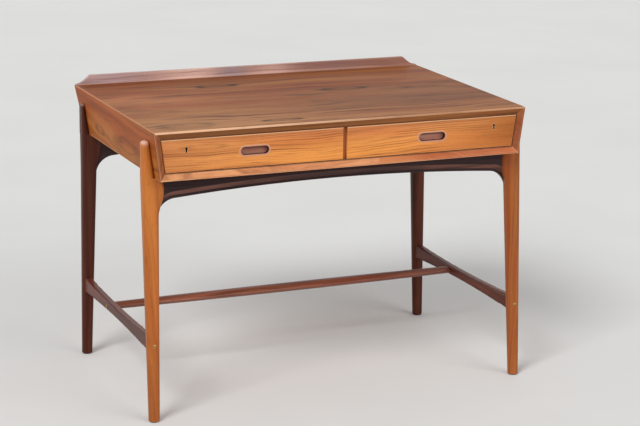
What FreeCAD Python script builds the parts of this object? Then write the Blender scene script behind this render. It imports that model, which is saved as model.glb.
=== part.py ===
import FreeCAD, Part
import math
import os

# Writing desk in teak: a tapering case with two drawers, hung between four raked legs.
# Millimetres, +Z up, front towards -Y, origin on the floor under the middle of the case.

V = FreeCAD.Vector

# Case
top_height = 720.0          # floor to the writing surface
case_height = 119.0
case_width = 990.0          # over the top edge
side_run = 16.0             # how far each side leans in from top to bottom
case_depth = 652.0          # over the top edge
back_slope_run = 38.0       # how far the back leans in from top to bottom
top_thickness = 20.0
side_thickness = 16.0
bottom_thickness = 16.0
back_thickness = 12.0
front_recess = 10.0         # drawer fronts behind the case's front lip
lip_share = 0.25            # part of each board's thickness left at the front lip
arris = 2.3                 # bevel on the long upper edges
divider_thickness = 8.0
divider_setback = 8.0       # front edge of the divider behind the drawer fronts

# Raised back lip
lip_height = 24.0
lip_base = 15.0
lip_crest = 9.0
lip_fillet = 3.5
lip_cove_height = 6.0       # the cove at the foot turns into the upright face here
lip_face_lean = 1.5         # how far that face leans back up to the crest
lip_toe = 1.5               # upright edge at the foot of the cove and at both ends
lip_hollow_share = 0.70     # how far the cove reaches back before it rises
lip_sweep = 40.0            # length of the curved run-down at each end
lip_sweep_low_share = 0.50  # pull of the curve towards the table at its foot
lip_sweep_high_share = 0.10 # pull of the curve along the crest

# Drawers
drawer_gap = 1.5            # visible gap round a drawer front
front_thickness = 20.0
drawer_side_thickness = 12.0
drawer_back_thickness = 10.0
drawer_bottom_thickness = 5.0
drawer_rear_room = 90.8     # free space behind the closed drawers
drawer_head_gap = 5.0       # sides below the case top
drawer_back_drop = 8.0      # back below the top of the sides
bottom_groove_rise = 7.0    # groove above the lower edge of the sides
bottom_groove_depth = 5.0
running_gap = 0.3
guide_gap = 0.5
front_arris = 1.0
tongue_length = 8.0         # sliding dovetail between side and front
tongue_neck = 6.0
tongue_flare = 1.5
tongue_stop = 6.0
tail_count = 3
tail_width = 13.0
tail_flare = 1.6
tail_margin = 5.0

# Runners, guides and stops inside the case
runner_thickness = 3.0
runner_width = 14.0
runner_setback = 8.0        # behind the drawer front
guide_foot = 2.0            # least thickness of the wedge-shaped guide
guide_head_gap = 21.0       # guide below the case top
guide_rear_margin = 60.0
stop_length = 12.0
stop_width = 22.0
stop_height = 14.0

# Recessed pulls
pull_length = 80.0
pull_height = 27.0
pull_wall = 3.5
pull_depth = 15.0
pull_floor = 3.0
pull_proud = 0.8
pull_round = 0.7

# Drawer locks
key_inset = 60.0            # keyhole from the outer end of the front
key_drop = 23.0             # keyhole below the upper edge of the front
keyhole_radius = 3.3
keyhole_slot = 4.2
keyhole_length = 13.5
lock_width = 44.0
lock_height = 36.0
lock_thickness = 9.0
lock_plate_overhang = 5.0
lock_plate_thickness = 1.8
key_pin_radius = 1.1
key_well_depth = 7.0
bolt_width = 18.0
bolt_thickness = 4.0
bolt_height = 13.0
bolt_travel = 6.0
bolt_set_down = 0.5         # bolt below the upper edge when unlocked
mortise_room = 1.5

# Legs
leg_overhang = 30.5         # outer face of the front legs beyond the case's lower edge
rear_leg_overhang = 19.5    # the same for the rear legs, from their neck up
rear_leg_splay = 7.0        # how much further out the rear feet stand
foot_size = 27.0
foot_round = 12.5
leg_inset = 57.0            # middle of the front legs from the front of the case
leg_rake = 42.0             # how much further forward the front feet stand
rear_leg_inset = 26.0       # middle of the rear legs from the rear end of the case's underside
neck_drop = 96.0            # below the case
leg_neck_width = 39.0
leg_depth = 38.0
leg_round = 13.0
shoulder_drop = 33.0        # widest place, below the case
shoulder_width = 54.0
seat_width = 47.0           # leg width where it meets the underside of the case
tip_drop = 29.0             # front finger tips below the writing surface
rear_tip_drop = 40.0
tip_depth = 25.0
tip_round = 9.0
tip_dome = 8.0
swell_shares = (0.0, 0.35, 0.7, 1.0)    # sections between neck and shoulder
settle_shares = (0.5, 1.0)              # between shoulder and case
glide_thickness = 3.0
glide_radius = 11.0

# Rails under the case
rail_thickness = 22.0
rail_end_height = 55.0      # front rail, where its arch begins
rear_rail_end_height = 61.0
rail_arch_rise = 17.0
bracket_radius = 50.0
bracket_bite = 3.0          # how far the bracket's curve would run on into the leg
rail_chamfer = 12.0         # bevel along the outer lower edge
rail_land = 7.0             # upright edge left below the bevel
tenon_thickness = 10.0
tenon_height = 26.0
tenon_length = 24.0
tenon_drop = 8.0

# Stretchers
stretcher_height = 192.0
stretcher_thickness = 20.0
stretcher_end_height = 41.0
stretcher_waist_height = 24.0
stretcher_round = 5.0
long_stretcher_setback = 381.0  # behind the front of the case
long_stretcher_drop = 2.0       # below the side stretchers' axis
long_stretcher_height = 23.0
long_stretcher_end_height = 19.0
long_stretcher_width = 42.0
long_stretcher_end_width = 28.0
long_stretcher_shares = (-1.0, -0.6, -0.2, 0.2, 0.6, 1.0)   # sections along it
nose_run_share = 0.16       # rounded front and rear edges, of the half width
nose_height_share = 0.42    # of the half height

# Screws and bolts
brass_head_radius = 4.6
brass_head_dome = 1.6
brass_head_cone = 3.0
brass_shank_radius = 2.2
stretcher_screw_length = 62.0
bolt_length = 70.0
wood_screw_head_radius = 4.0
wood_screw_shank_radius = 2.0
wood_screw_cone = 2.4
leg_screw_length = 26.0
leg_screw_rise = 31.0       # lower screw above the case's underside
leg_screw_spacing = 28.0
rail_screw_length = 42.0
rail_screw_spacing = 300.0
lock_screw_head_radius = 2.6
lock_screw_shank_radius = 1.2
lock_screw_length = 8.0
lock_screw_cone = 1.4
overrun = 5.0               # how far a cutting shape runs past what it cuts
sliver = 0.2                # smallest flat left between two rounded edges

# Derived places
case_bottom = top_height - case_height
ceiling = top_height - top_thickness
floor_level = case_bottom + bottom_thickness
front_y = -case_depth / 2
recess_y = front_y + front_recess
rear_y = case_depth / 2
case_foot_width = case_width - 2 * side_run
side_lean = side_run / case_height
back_lean = back_slope_run / case_height
back_thickness_y = back_thickness * math.hypot(1.0, back_lean)
drawer_rear_y = rear_y - back_lean * (top_height - floor_level) - back_thickness_y - drawer_rear_room
front_leg_half_width = case_foot_width / 2 + leg_overhang
rear_leg_half_width = case_foot_width / 2 + rear_leg_overhang
front_leg_y = front_y + leg_inset
rear_leg_y = rear_y - back_slope_run - rear_leg_inset
leg_neck_height = case_bottom - neck_drop
shoulder_height = case_bottom - shoulder_drop


def outer_x(z):
    """Outer face of the right side panel at height z."""
    return case_foot_width / 2 + side_lean * (z - case_bottom)


def inner_x(z):
    """Inner face of the right side panel at height z."""
    return outer_x(z) - side_thickness


def back_y(z):
    """Outer face of the leaning back at height z."""
    return rear_y - back_lean * (top_height - z)


# Plain helpers
def polygon(points):
    """Closed wire through the points."""
    return Part.makePolygon(list(points) + [points[0]])


def prism(points, run):
    """Solid swept straight along run from a closed outline."""
    return Part.Face(polygon(points)).extrude(run)


def block(x_low, x_high, y_low, y_high, z_low, z_high):
    """Rectangular block between two corners."""
    return Part.makeBox(x_high - x_low, y_high - y_low, z_high - z_low, V(x_low, y_low, z_low))


def cylinder(radius, start, run):
    """Round bar from start along run."""
    return Part.makeCylinder(radius, run.Length, start, run)


def mirrored(shape):
    """The same shape on the other side of the middle."""
    return shape.mirror(V(0, 0, 0), V(1, 0, 0))


def clean(shape):
    """One tidy solid with no split faces."""
    joined = shape.removeSplitter()
    return joined.Solids[0] if len(joined.Solids) == 1 else joined


def group(solids):
    """Separate solids of one kind under one name."""
    return Part.makeCompound(list(solids))


def edges_where(shape, test):
    """Edges whose every sampled point passes the test."""
    chosen = []
    for edge in shape.Edges:
        first, last = edge.ParameterRange
        points = [edge.valueAt(first), edge.valueAt((first + last) / 2), edge.valueAt(last)]
        if all(test(point) for point in points):
            chosen.append(edge)
    return chosen


def near(a, b):
    """True where two lengths agree closely."""
    return abs(a - b) < sliver / 2


def mixed(start, end, share):
    """Value part of the way from start to end."""
    return start + (end - start) * share


# Case boards
outer_top = (case_width / 2, top_height)
outer_foot = (case_foot_width / 2, case_bottom)
inner_top = (inner_x(ceiling), ceiling)
inner_foot = (inner_x(floor_level), floor_level)


def left_of(corner):
    """The matching corner on the left side."""
    return (-corner[0], corner[1])


def front_ring(corner, inner):
    """Corner of a board's bevelled front lip, on the mitre between its outer and inner corners."""
    return tuple(a + lip_share * (b - a) for a, b in zip(corner, inner))


def framed_board(outer_a, outer_b, inner_b, inner_a):
    """Case board mitred at both ends, with its inner front edge bevelled back to the drawer fronts."""
    lip = [outer_a, outer_b, front_ring(outer_b, inner_b), front_ring(outer_a, inner_a)]
    full = [outer_a, outer_b, inner_b, inner_a]
    sections = [polygon([V(x, y, z) for x, z in ring]) for ring, y in ((lip, front_y), (full, recess_y))]
    bevel = Part.makeLoft(sections, True, True)
    run = V(0, case_depth, 0)
    body = prism([V(x, recess_y, z) for x, z in full], run)
    return bevel.fuse(body)


def behind_back(shift):
    """Everything behind a plane that leans like the back and lies shift before its outer face."""
    low = case_bottom - case_height
    high = top_height + case_height
    far = rear_y + case_depth
    points = [
        V(-case_width, back_y(low) - shift, low),
        V(-case_width, back_y(high) - shift, high),
        V(-case_width, far, high),
        V(-case_width, far, low),
    ]
    return prism(points, V(2 * case_width, 0, 0))


def side_arris():
    """Cutter for the light bevel along the upper right edge, shared by the top and the side."""
    x, z = outer_top
    points = [
        V(x - arris, front_y - overrun, z),
        V(x - side_lean * arris, front_y - overrun, z - arris),
        V(x + overrun, front_y - overrun, z - arris),
        V(x + overrun, front_y - overrun, z + overrun),
        V(x - arris, front_y - overrun, z + overrun),
    ]
    return prism(points, V(0, case_depth + 2 * overrun, 0))


def front_top_arris():
    """Cutter for the light bevel along the upper front edge."""
    points = [
        V(-case_width, front_y, top_height - arris / 2),
        V(-case_width, front_y + arris / 2, top_height),
        V(-case_width, front_y - overrun, top_height + overrun),
    ]
    return prism(points, V(2 * case_width, 0, 0))


beyond_back = behind_back(0)
cutters = [beyond_back, side_arris(), mirrored(side_arris())]
top_panel = framed_board(left_of(outer_top), outer_top, inner_top, left_of(inner_top))
top_panel = clean(top_panel.cut(cutters + [front_top_arris()]))
bottom_panel = clean(framed_board(left_of(outer_foot), outer_foot, inner_foot, left_of(inner_foot)).cut(beyond_back))
right_side_panel = clean(framed_board(outer_top, outer_foot, inner_foot, inner_top).cut(cutters))
left_side_panel = mirrored(right_side_panel)

opening = prism(
    [V(x, recess_y, z) for x, z in (left_of(inner_top), inner_top, inner_foot, left_of(inner_foot))],
    V(0, case_depth, 0),
)
back_panel = clean(opening.common(behind_back(back_thickness_y)).cut(beyond_back))

half_divider = divider_thickness / 2
divider_board = block(-half_divider, half_divider, recess_y + divider_setback, rear_y, floor_level, ceiling)
center_divider = clean(divider_board.cut(behind_back(back_thickness_y)))


# Raised lip along the rear edge: a coved strip whose ends sweep down to the corners
def make_back_lip():
    """Cove profile run along the desk, trimmed by the swept outline of its ends."""
    crest = top_height + lip_height
    toe = top_height + lip_toe
    foot_y = rear_y - lip_base
    crest_y = rear_y - lip_crest
    knee = V(0, crest_y - lip_face_lean, top_height + lip_cove_height)
    cove_run = knee.y - foot_y
    hollow = V(0, foot_y + cove_run * lip_hollow_share, mixed(knee.z, toe, lip_hollow_share))
    slack = lip_fillet * (1 - math.cos(math.pi / 4))
    fillet_mid = V(0, crest_y + slack, crest - slack)
    edges = [
        Part.LineSegment(V(0, rear_y, top_height), V(0, rear_y, crest)),
        Part.LineSegment(V(0, rear_y, crest), V(0, crest_y + lip_fillet, crest)),
        Part.Arc(V(0, crest_y + lip_fillet, crest), fillet_mid, V(0, crest_y, crest - lip_fillet)),
        Part.LineSegment(V(0, crest_y, crest - lip_fillet), knee),
        Part.Arc(knee, hollow, V(0, foot_y, toe)),
        Part.LineSegment(V(0, foot_y, toe), V(0, foot_y, top_height)),
        Part.LineSegment(V(0, foot_y, top_height), V(0, rear_y, top_height)),
    ]
    profile = Part.Face(Part.Wire([edge.toShape() for edge in edges]))
    profile.translate(V(-case_width / 2, 0, 0))
    strip = profile.extrude(V(case_width, 0, 0))
    end_x = case_width / 2 - arris
    crest_x = end_x - lip_sweep
    poles = [
        V(end_x, 0, toe),
        V(end_x - lip_sweep * lip_sweep_low_share, 0, toe),
        V(crest_x + lip_sweep * lip_sweep_high_share, 0, crest),
        V(crest_x, 0, crest),
    ]
    right_sweep = Part.BezierCurve()
    right_sweep.setPoles(poles)
    left_sweep = Part.BezierCurve()
    left_sweep.setPoles([V(-pole.x, 0, pole.z) for pole in reversed(poles)])
    outline = [
        Part.LineSegment(V(end_x, 0, top_height), V(end_x, 0, toe)),
        right_sweep,
        Part.LineSegment(V(crest_x, 0, crest), V(-crest_x, 0, crest)),
        left_sweep,
    ]
    outline += [
        Part.LineSegment(V(-end_x, 0, toe), V(-end_x, 0, top_height)),
        Part.LineSegment(V(-end_x, 0, top_height), V(end_x, 0, top_height)),
    ]
    trim = Part.Face(Part.Wire([edge.toShape() for edge in outline]))
    trim.translate(V(0, foot_y - overrun, 0))
    return clean(strip.common(trim.extrude(V(0, lip_base + 2 * overrun, 0))))


back_lip = make_back_lip()


# Screws
def countersunk(head_radius, shank_radius, cone, length, dome, place, direction):
    """Screw with a cone head and a low dome, its head's rim at place and its point along direction."""
    points = [
        V(0, 0, -dome),
        V(head_radius, 0, 0),
        V(shank_radius, 0, cone),
        V(shank_radius, 0, length - 2 * shank_radius),
        V(0, 0, length),
    ]
    edges = [Part.LineSegment(a, b).toShape() for a, b in zip(points[1:], points[2:])]
    if dome:
        crown = V(head_radius * math.sin(math.pi / 4), 0, -dome * math.cos(math.pi / 4))
        edges.insert(0, Part.Arc(points[0], crown, points[1]).toShape())
    else:
        edges.insert(0, Part.LineSegment(V(0, 0, 0), points[1]).toShape())
    edges.append(Part.LineSegment(points[-1], points[0] if dome else V(0, 0, 0)).toShape())
    screw = Part.Face(Part.Wire(edges)).revolve(V(0, 0, 0), V(0, 0, 1), 360)
    solid = screw.Solids[0] if screw.Solids else Part.makeSolid(screw)
    turn = FreeCAD.Rotation(V(0, 0, 1), direction)
    solid.Placement = FreeCAD.Placement(place, turn)
    return solid


def wood_screw(place, direction, length):
    """Flush countersunk steel screw."""
    return countersunk(wood_screw_head_radius, wood_screw_shank_radius, wood_screw_cone, length, 0, place, direction)


def brass_screw(place, direction, length):
    """Raised countersunk brass screw that shows."""
    return countersunk(brass_head_radius, brass_shank_radius, brass_head_cone, length, brass_head_dome, place, direction)


# Legs
def rounded_ring(x_outer, width, y_middle, depth, radius, z):
    """Rounded rectangle at height z, from its outer side x_outer inwards, as a closed wire."""
    corner = min(radius, width / 2 - sliver, depth / 2 - sliver)
    x_low, x_high = x_outer - width, x_outer
    y_low, y_high = y_middle - depth / 2, y_middle + depth / 2
    slack = corner * (1 - math.cos(math.pi / 4))
    corners = (
        ((x_high - corner, y_low), (x_high - slack, y_low + slack), (x_high, y_low + corner)),
        ((x_high, y_high - corner), (x_high - slack, y_high - slack), (x_high - corner, y_high)),
        ((x_low + corner, y_high), (x_low + slack, y_high - slack), (x_low, y_high - corner)),
        ((x_low, y_low + corner), (x_low + slack, y_low + slack), (x_low + corner, y_low)),
    )
    edges = []
    for index, (start, middle, end) in enumerate(corners):
        edges.append(Part.Arc(V(*start, z), V(*middle, z), V(*end, z)).toShape())
        following = corners[(index + 1) % len(corners)][0]
        edges.append(Part.LineSegment(V(*end, z), V(*following, z)).toShape())
    return Part.Wire(edges)


def front_leg_place(z):
    """Outer face and middle of the front right leg at height z: it leans back up to the case, then stands upright."""
    return front_leg_half_width, front_leg_y - leg_rake * max(1 - z / case_bottom, 0)


def rear_leg_place(z):
    """Outer face and middle of the rear right leg at height z: upright, with its foot a little further out."""
    return rear_leg_half_width + rear_leg_splay * max(1 - z / leg_neck_height, 0), rear_leg_y


def leg_depth_at(z):
    """Size of a leg from front to back at height z, up to the case."""
    return mixed(foot_size, leg_depth, z / case_bottom)


def leg_width_at(z):
    """Size of a leg across the desk at height z, up to its neck."""
    return mixed(foot_size, leg_neck_width, (z - glide_thickness) / (leg_neck_height - glide_thickness))


def eased(share):
    """Share that starts and ends gently."""
    return share * share * (3 - 2 * share)


def make_leg(place, tip_height):
    """Tapering leg: round foot, slim neck, shoulder under the case and a finger that tapers up its side."""

    def ring(z, width, depth, radius):
        outer, middle = place(z)
        return rounded_ring(outer, width, middle, depth, radius, z)

    taper = [
        ring(z, leg_width_at(z), leg_depth_at(z), radius)
        for z, radius in ((glide_thickness, foot_round), (leg_neck_height, leg_round))
    ]
    swell = []
    for share in swell_shares:
        z = mixed(leg_neck_height, shoulder_height, share)
        width = mixed(leg_neck_width, shoulder_width, eased(share))
        swell.append(ring(z, width, leg_depth_at(z), leg_round))
    for share in settle_shares:
        z = mixed(shoulder_height, case_bottom, share)
        width = mixed(shoulder_width, seat_width, share * share)
        swell.append(ring(z, width, leg_depth_at(z), leg_round))
    outer = place(case_bottom)[0]
    tip_width = outer - outer_x(tip_height)
    finger = [
        ring(case_bottom, outer - outer_x(case_bottom), leg_depth, leg_round),
        ring(tip_height, tip_width, tip_depth, tip_round),
    ]
    lower = Part.makeLoft(taper, True, True)
    shoulder = Part.makeLoft(swell, True, False)
    upper = Part.makeLoft(finger, True, True)
    tip_edges = edges_where(upper, lambda point: near(point.z, tip_height))
    upper = upper.makeFillet(min(tip_dome, tip_width / 2 - 2 * sliver, tip_depth / 2 - 2 * sliver), tip_edges)
    return clean(lower.fuse([shoulder, upper]))


front_right_leg = make_leg(front_leg_place, top_height - tip_drop)
rear_right_leg = make_leg(rear_leg_place, top_height - rear_tip_drop)


# Rails
def rail_face(leg_face, arch_end, rise):
    """Outline of an arched rail with a curved bracket at each end, its lower edge lifted by rise."""
    radius = bracket_radius + rise
    centre_x = leg_face + bracket_bite - bracket_radius
    centre_z = arch_end - bracket_radius
    turn = 2 * math.atan(rail_arch_rise / centre_x)
    middle_turn = (math.pi / 2 - turn) / 2
    toe_x = centre_x + radius
    end_x = leg_face + bracket_bite + rail_land + rail_chamfer + overrun
    top = case_bottom + overrun
    toe = (toe_x, centre_z)
    bend = (centre_x + radius * math.cos(middle_turn), centre_z + radius * math.sin(middle_turn))
    spring = (centre_x + radius * math.sin(turn), centre_z + radius * math.cos(turn))
    crown = V(0, 0, spring[1] + rail_arch_rise)

    def right(place):
        return V(place[0], 0, place[1])

    def left(place):
        return V(-place[0], 0, place[1])

    edges = [
        Part.LineSegment(right((end_x, top)), right((end_x, centre_z))),
        Part.LineSegment(right((end_x, centre_z)), right(toe)),
        Part.Arc(right(toe), right(bend), right(spring)),
        Part.Arc(right(spring), crown, left(spring)),
        Part.Arc(left(spring), left(bend), left(toe)),
        Part.LineSegment(left(toe), left((end_x, centre_z))),
        Part.LineSegment(left((end_x, centre_z)), left((end_x, top))),
        Part.LineSegment(left((end_x, top)), right((end_x, top))),
    ]
    return Part.Face(Part.Wire([edge.toShape() for edge in edges]))


def make_rail(leg, place, end_height, outward):
    """Rail in line with a pair of legs, bevelled below its outer face, shouldered and tenoned to them.

    outward is 1 where the outer face looks towards +Y and -1 where it looks towards -Y.
    """
    leg_face = place(leg_neck_height)[0] - leg_neck_width
    arch_end = case_bottom - end_height
    toe_x = leg_face + bracket_bite + rail_land
    inner_y = -outward * rail_thickness / 2
    upper_face = rail_face(leg_face, arch_end, rail_land)
    upper_face.translate(V(0, inner_y, 0))
    board = upper_face.extrude(V(0, outward * rail_thickness, 0))

    def on_outer_lower_edge(point):
        return near(point.y, -inner_y) and point.z < case_bottom and abs(point.x) < toe_x + sliver

    board = board.makeChamfer(rail_chamfer, edges_where(board, on_outer_lower_edge))
    lower_face = rail_face(leg_face, arch_end, 0)
    lower_face.translate(V(0, inner_y, 0))
    board = board.fuse(lower_face.extrude(V(0, outward * (rail_thickness - rail_chamfer), 0)))
    tenon_top = case_bottom - tenon_drop
    tenon_root = place(case_bottom)[0] - shoulder_width - overrun
    tenon = block(
        tenon_root, tenon_root + overrun + tenon_length,
        -tenon_thickness / 2, tenon_thickness / 2,
        tenon_top - tenon_height, tenon_top,
    )
    middle_y = place(case_bottom)[1]
    lean = math.degrees(math.atan((middle_y - place(0)[1]) / case_bottom))
    for shape in (board, tenon):
        shape.rotate(V(0, 0, case_bottom), V(1, 0, 0), -lean)
        shape.translate(V(0, middle_y, 0))
    above = block(-case_width, case_width, middle_y - rail_thickness, middle_y + rail_thickness, case_bottom, ceiling)
    shoulders = board.cut([leg, mirrored(leg), above])
    body = max(shoulders.Solids, key=lambda solid: solid.Volume)
    return clean(body.fuse([tenon, mirrored(tenon)])), tenon


rear_rail, rear_tenon = make_rail(rear_right_leg, rear_leg_place, rear_rail_end_height, 1)
front_rail, front_tenon = make_rail(front_right_leg, front_leg_place, rail_end_height, -1)
rear_right_leg = clean(rear_right_leg.cut(rear_tenon))
front_right_leg = clean(front_right_leg.cut(front_tenon))


# Stretchers
def leg_middle(place):
    """Middle of a right leg at the height of the stretchers."""
    outer, middle = place(stretcher_height)
    return V(outer - leg_width_at(stretcher_height) / 2, middle, stretcher_height)


stretcher_front = leg_middle(front_leg_place)
stretcher_rear = leg_middle(rear_leg_place)
stretcher_middle = (stretcher_front + stretcher_rear) / 2
stretcher_skew = (stretcher_rear.x - stretcher_front.x) / (stretcher_rear.y - stretcher_front.y)
long_stretcher_y = front_y + long_stretcher_setback
crossing_x = stretcher_middle.x + stretcher_skew * (long_stretcher_y - stretcher_middle.y)
long_stretcher_z = stretcher_height - long_stretcher_drop


def make_right_stretcher(legs):
    """Side stretcher from leg to leg, deep at its ends and waisted between them, with softened edges."""
    front, rear = stretcher_front.y, stretcher_rear.y
    middle = stretcher_middle.y
    half_end = stretcher_end_height / 2
    half_waist = stretcher_waist_height / 2
    x = stretcher_middle.x - stretcher_thickness / 2
    z = stretcher_height
    edges = [
        Part.Arc(V(x, front, z + half_end), V(x, middle, z + half_waist), V(x, rear, z + half_end)),
        Part.LineSegment(V(x, rear, z + half_end), V(x, rear, z - half_end)),
        Part.Arc(V(x, rear, z - half_end), V(x, middle, z - half_waist), V(x, front, z - half_end)),
        Part.LineSegment(V(x, front, z - half_end), V(x, front, z + half_end)),
    ]
    board = Part.Face(Part.Wire([edge.toShape() for edge in edges])).extrude(V(stretcher_thickness, 0, 0))
    long_edges = [
        edge for edge in board.Edges
        if near(edge.Vertexes[0].Z, edge.Vertexes[-1].Z) and edge.Length > stretcher_thickness + overrun
    ]
    board = board.makeFillet(stretcher_round, long_edges)
    board.rotate(stretcher_middle, V(0, 0, 1), -math.degrees(math.atan(stretcher_skew)))
    pieces = board.cut(legs).Solids
    return max(pieces, key=lambda solid: solid.Volume)


def lens_ring(centre, half_width, half_height):
    """Lens-shaped section with rounded front and rear edges, square to the desk's length."""
    nose_y = half_width * (1 - nose_run_share)
    nose_z = half_height * nose_height_share
    points = [
        V(0, -nose_y, -nose_z), V(0, -half_width, 0), V(0, -nose_y, nose_z), V(0, 0, half_height),
        V(0, nose_y, nose_z), V(0, half_width, 0), V(0, nose_y, -nose_z), V(0, 0, -half_height),
    ]
    points = [centre + point for point in points + points[:1]]
    arcs = [Part.Arc(*points[start:start + 3]) for start in range(0, len(points) - 1, 2)]
    return Part.Wire([arc.toShape() for arc in arcs])


def make_long_stretcher(side_stretchers):
    """Lens-shaped stretcher cut to fit between the two side stretchers, widest in the middle."""
    reach = crossing_x
    rings = []
    for share in long_stretcher_shares:
        half_width = mixed(long_stretcher_width, long_stretcher_end_width, share * share) / 2
        half_height = mixed(long_stretcher_height, long_stretcher_end_height, share * share) / 2
        rings.append(lens_ring(V(share * reach, long_stretcher_y, long_stretcher_z), half_width, half_height))
    pieces = Part.makeLoft(rings, True, True).cut(side_stretchers).Solids
    return max(pieces, key=lambda solid: solid.Volume)


right_side_stretcher = make_right_stretcher([rear_right_leg, front_right_leg])
long_stretcher = make_long_stretcher([right_side_stretcher, mirrored(right_side_stretcher)])

# Brass screws through the legs into the stretchers, and through the stretchers into the long one
screw_reach = leg_depth_at(stretcher_height) / 2 - sliver
rear_right_screw = brass_screw(stretcher_rear + V(0, screw_reach, 0), V(0, -1, 0), stretcher_screw_length)
front_right_screw = brass_screw(stretcher_front - V(0, screw_reach, 0), V(0, 1, 0), stretcher_screw_length)
right_bolt = brass_screw(
    V(crossing_x + stretcher_thickness / 2, long_stretcher_y, long_stretcher_z), V(-1, 0, 0), bolt_length
)
rear_right_leg = clean(rear_right_leg.cut(rear_right_screw))
front_right_leg = clean(front_right_leg.cut(front_right_screw))
right_side_stretcher = clean(right_side_stretcher.cut([rear_right_screw, front_right_screw, right_bolt]))
long_stretcher = clean(long_stretcher.cut([right_bolt, mirrored(right_bolt)]))

# Steel screws that hold the case to the legs and to the rails
screw_rows_y = (front_leg_y, rear_leg_y)
leg_screw_heights = (case_bottom + leg_screw_rise, case_bottom + leg_screw_rise + leg_screw_spacing)
right_leg_screws = [
    wood_screw(V(inner_x(z), y, z), V(1, 0, -side_lean), leg_screw_length)
    for y in screw_rows_y
    for z in leg_screw_heights
]
rail_screws = [
    wood_screw(V(column * rail_screw_spacing, y, floor_level), V(0, 0, -1), rail_screw_length)
    for y in screw_rows_y for column in (-1, 0, 1)
]
right_side_panel = clean(right_side_panel.cut(right_leg_screws))
left_side_panel = mirrored(right_side_panel)
rear_right_leg = clean(rear_right_leg.cut(right_leg_screws))
front_right_leg = clean(front_right_leg.cut(right_leg_screws))
bottom_panel = clean(bottom_panel.cut(rail_screws))
rear_rail = clean(rear_rail.cut(rail_screws))
front_rail = clean(front_rail.cut(rail_screws))


def glide(place):
    """Thin round glide under a right foot."""
    outer, middle = place(glide_thickness)
    return cylinder(glide_radius, V(outer - foot_size / 2, middle, 0), V(0, 0, glide_thickness))


right_glides = [glide(front_leg_place), glide(rear_leg_place)]

# Drawer sizes, worked out from the case and the gaps
front_inner_x = half_divider + drawer_gap
front_low = floor_level + drawer_gap
front_high = ceiling - drawer_gap
front_back_y = recess_y + front_thickness
guide_x = inner_x(floor_level) - guide_foot
side_out_x = guide_x - guide_gap
side_in_x = half_divider + guide_gap + running_gap
box_low = floor_level + runner_thickness + running_gap
box_high = ceiling - drawer_head_gap
groove_low = box_low + bottom_groove_rise
groove_high = groove_low + drawer_bottom_thickness
back_low = groove_high
back_high = box_high - drawer_back_drop
box_back_y = drawer_rear_y - drawer_back_thickness


def front_outer_x(z):
    """Slanted outer end of a right drawer front at height z."""
    return inner_x(z) - drawer_gap


# Right drawer
def sliding_tongue(x_low, x_high):
    """Dovetailed tongue at the front end of a drawer side, stopped below its upper edge."""
    middle = (x_low + x_high) / 2
    neck = tongue_neck / 2
    wide = neck + tongue_flare
    points = [
        V(middle - neck, front_back_y, box_low),
        V(middle - wide, front_back_y - tongue_length, box_low),
        V(middle + wide, front_back_y - tongue_length, box_low),
        V(middle + neck, front_back_y, box_low),
    ]
    return prism(points, V(0, 0, box_high - tongue_stop - box_low))


def tails(x_low, x_high):
    """Dovetails at the rear end of a drawer side, spaced evenly over the drawer's back."""
    room = back_high - back_low - 2 * tail_margin - tail_width
    shapes = []
    for index in range(tail_count):
        centre = back_low + tail_margin + tail_width / 2 + room * index / (tail_count - 1)
        wide = tail_width / 2
        narrow = wide - tail_flare
        points = [
            V(x_low, box_back_y, centre - narrow),
            V(x_low, drawer_rear_y, centre - wide),
            V(x_low, drawer_rear_y, centre + wide),
            V(x_low, box_back_y, centre + narrow),
        ]
        shapes.append(prism(points, V(x_high - x_low, 0, 0)))
    return shapes


outer_band = (side_out_x - drawer_side_thickness, side_out_x)
inner_band = (side_in_x, side_in_x + drawer_side_thickness)
drawer_back = block(side_in_x, side_out_x, box_back_y, drawer_rear_y, back_low, back_high)
right_drawer_back = clean(drawer_back.cut(tails(*outer_band) + tails(*inner_band)))
right_drawer_bottom = block(
    inner_band[1] - bottom_groove_depth, outer_band[0] + bottom_groove_depth,
    front_back_y - bottom_groove_depth, drawer_rear_y,
    groove_low, groove_high,
)


def drawer_side(band):
    """Drawer side with its tongue, tails and the groove that holds the bottom."""
    board = block(band[0], band[1], front_back_y, drawer_rear_y, box_low, box_high)
    return clean(board.fuse(sliding_tongue(*band)).cut([right_drawer_back, right_drawer_bottom]))


right_drawer_outer_side = drawer_side(outer_band)
right_drawer_inner_side = drawer_side(inner_band)

pull_z = (front_low + front_high) / 2
pull_x = (front_inner_x + front_outer_x(pull_z)) / 2
key_z = front_high - key_drop
key_x = front_outer_x(key_z) - key_inset


def stadium(length, height, y_low, y_high):
    """Bar with round ends, along the desk, centred on the pull."""
    radius = height / 2
    half = length / 2 - radius
    low, high = pull_z - radius, pull_z + radius
    edges = [
        Part.LineSegment(V(pull_x - half, y_low, low), V(pull_x + half, y_low, low)),
        Part.Arc(V(pull_x + half, y_low, low), V(pull_x + half + radius, y_low, pull_z), V(pull_x + half, y_low, high)),
        Part.LineSegment(V(pull_x + half, y_low, high), V(pull_x - half, y_low, high)),
        Part.Arc(V(pull_x - half, y_low, high), V(pull_x - half - radius, y_low, pull_z), V(pull_x - half, y_low, low)),
    ]
    return Part.Face(Part.Wire([edge.toShape() for edge in edges])).extrude(V(0, y_high - y_low, 0))


def keyhole(y_low, y_high):
    """Round eye with a slot below it."""
    eye = cylinder(keyhole_radius, V(key_x, y_low, key_z), V(0, y_high - y_low, 0))
    slot = block(
        key_x - keyhole_slot / 2, key_x + keyhole_slot / 2, y_low, y_high,
        key_z + keyhole_radius - keyhole_length, key_z,
    )
    return eye.fuse(slot)


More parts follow.
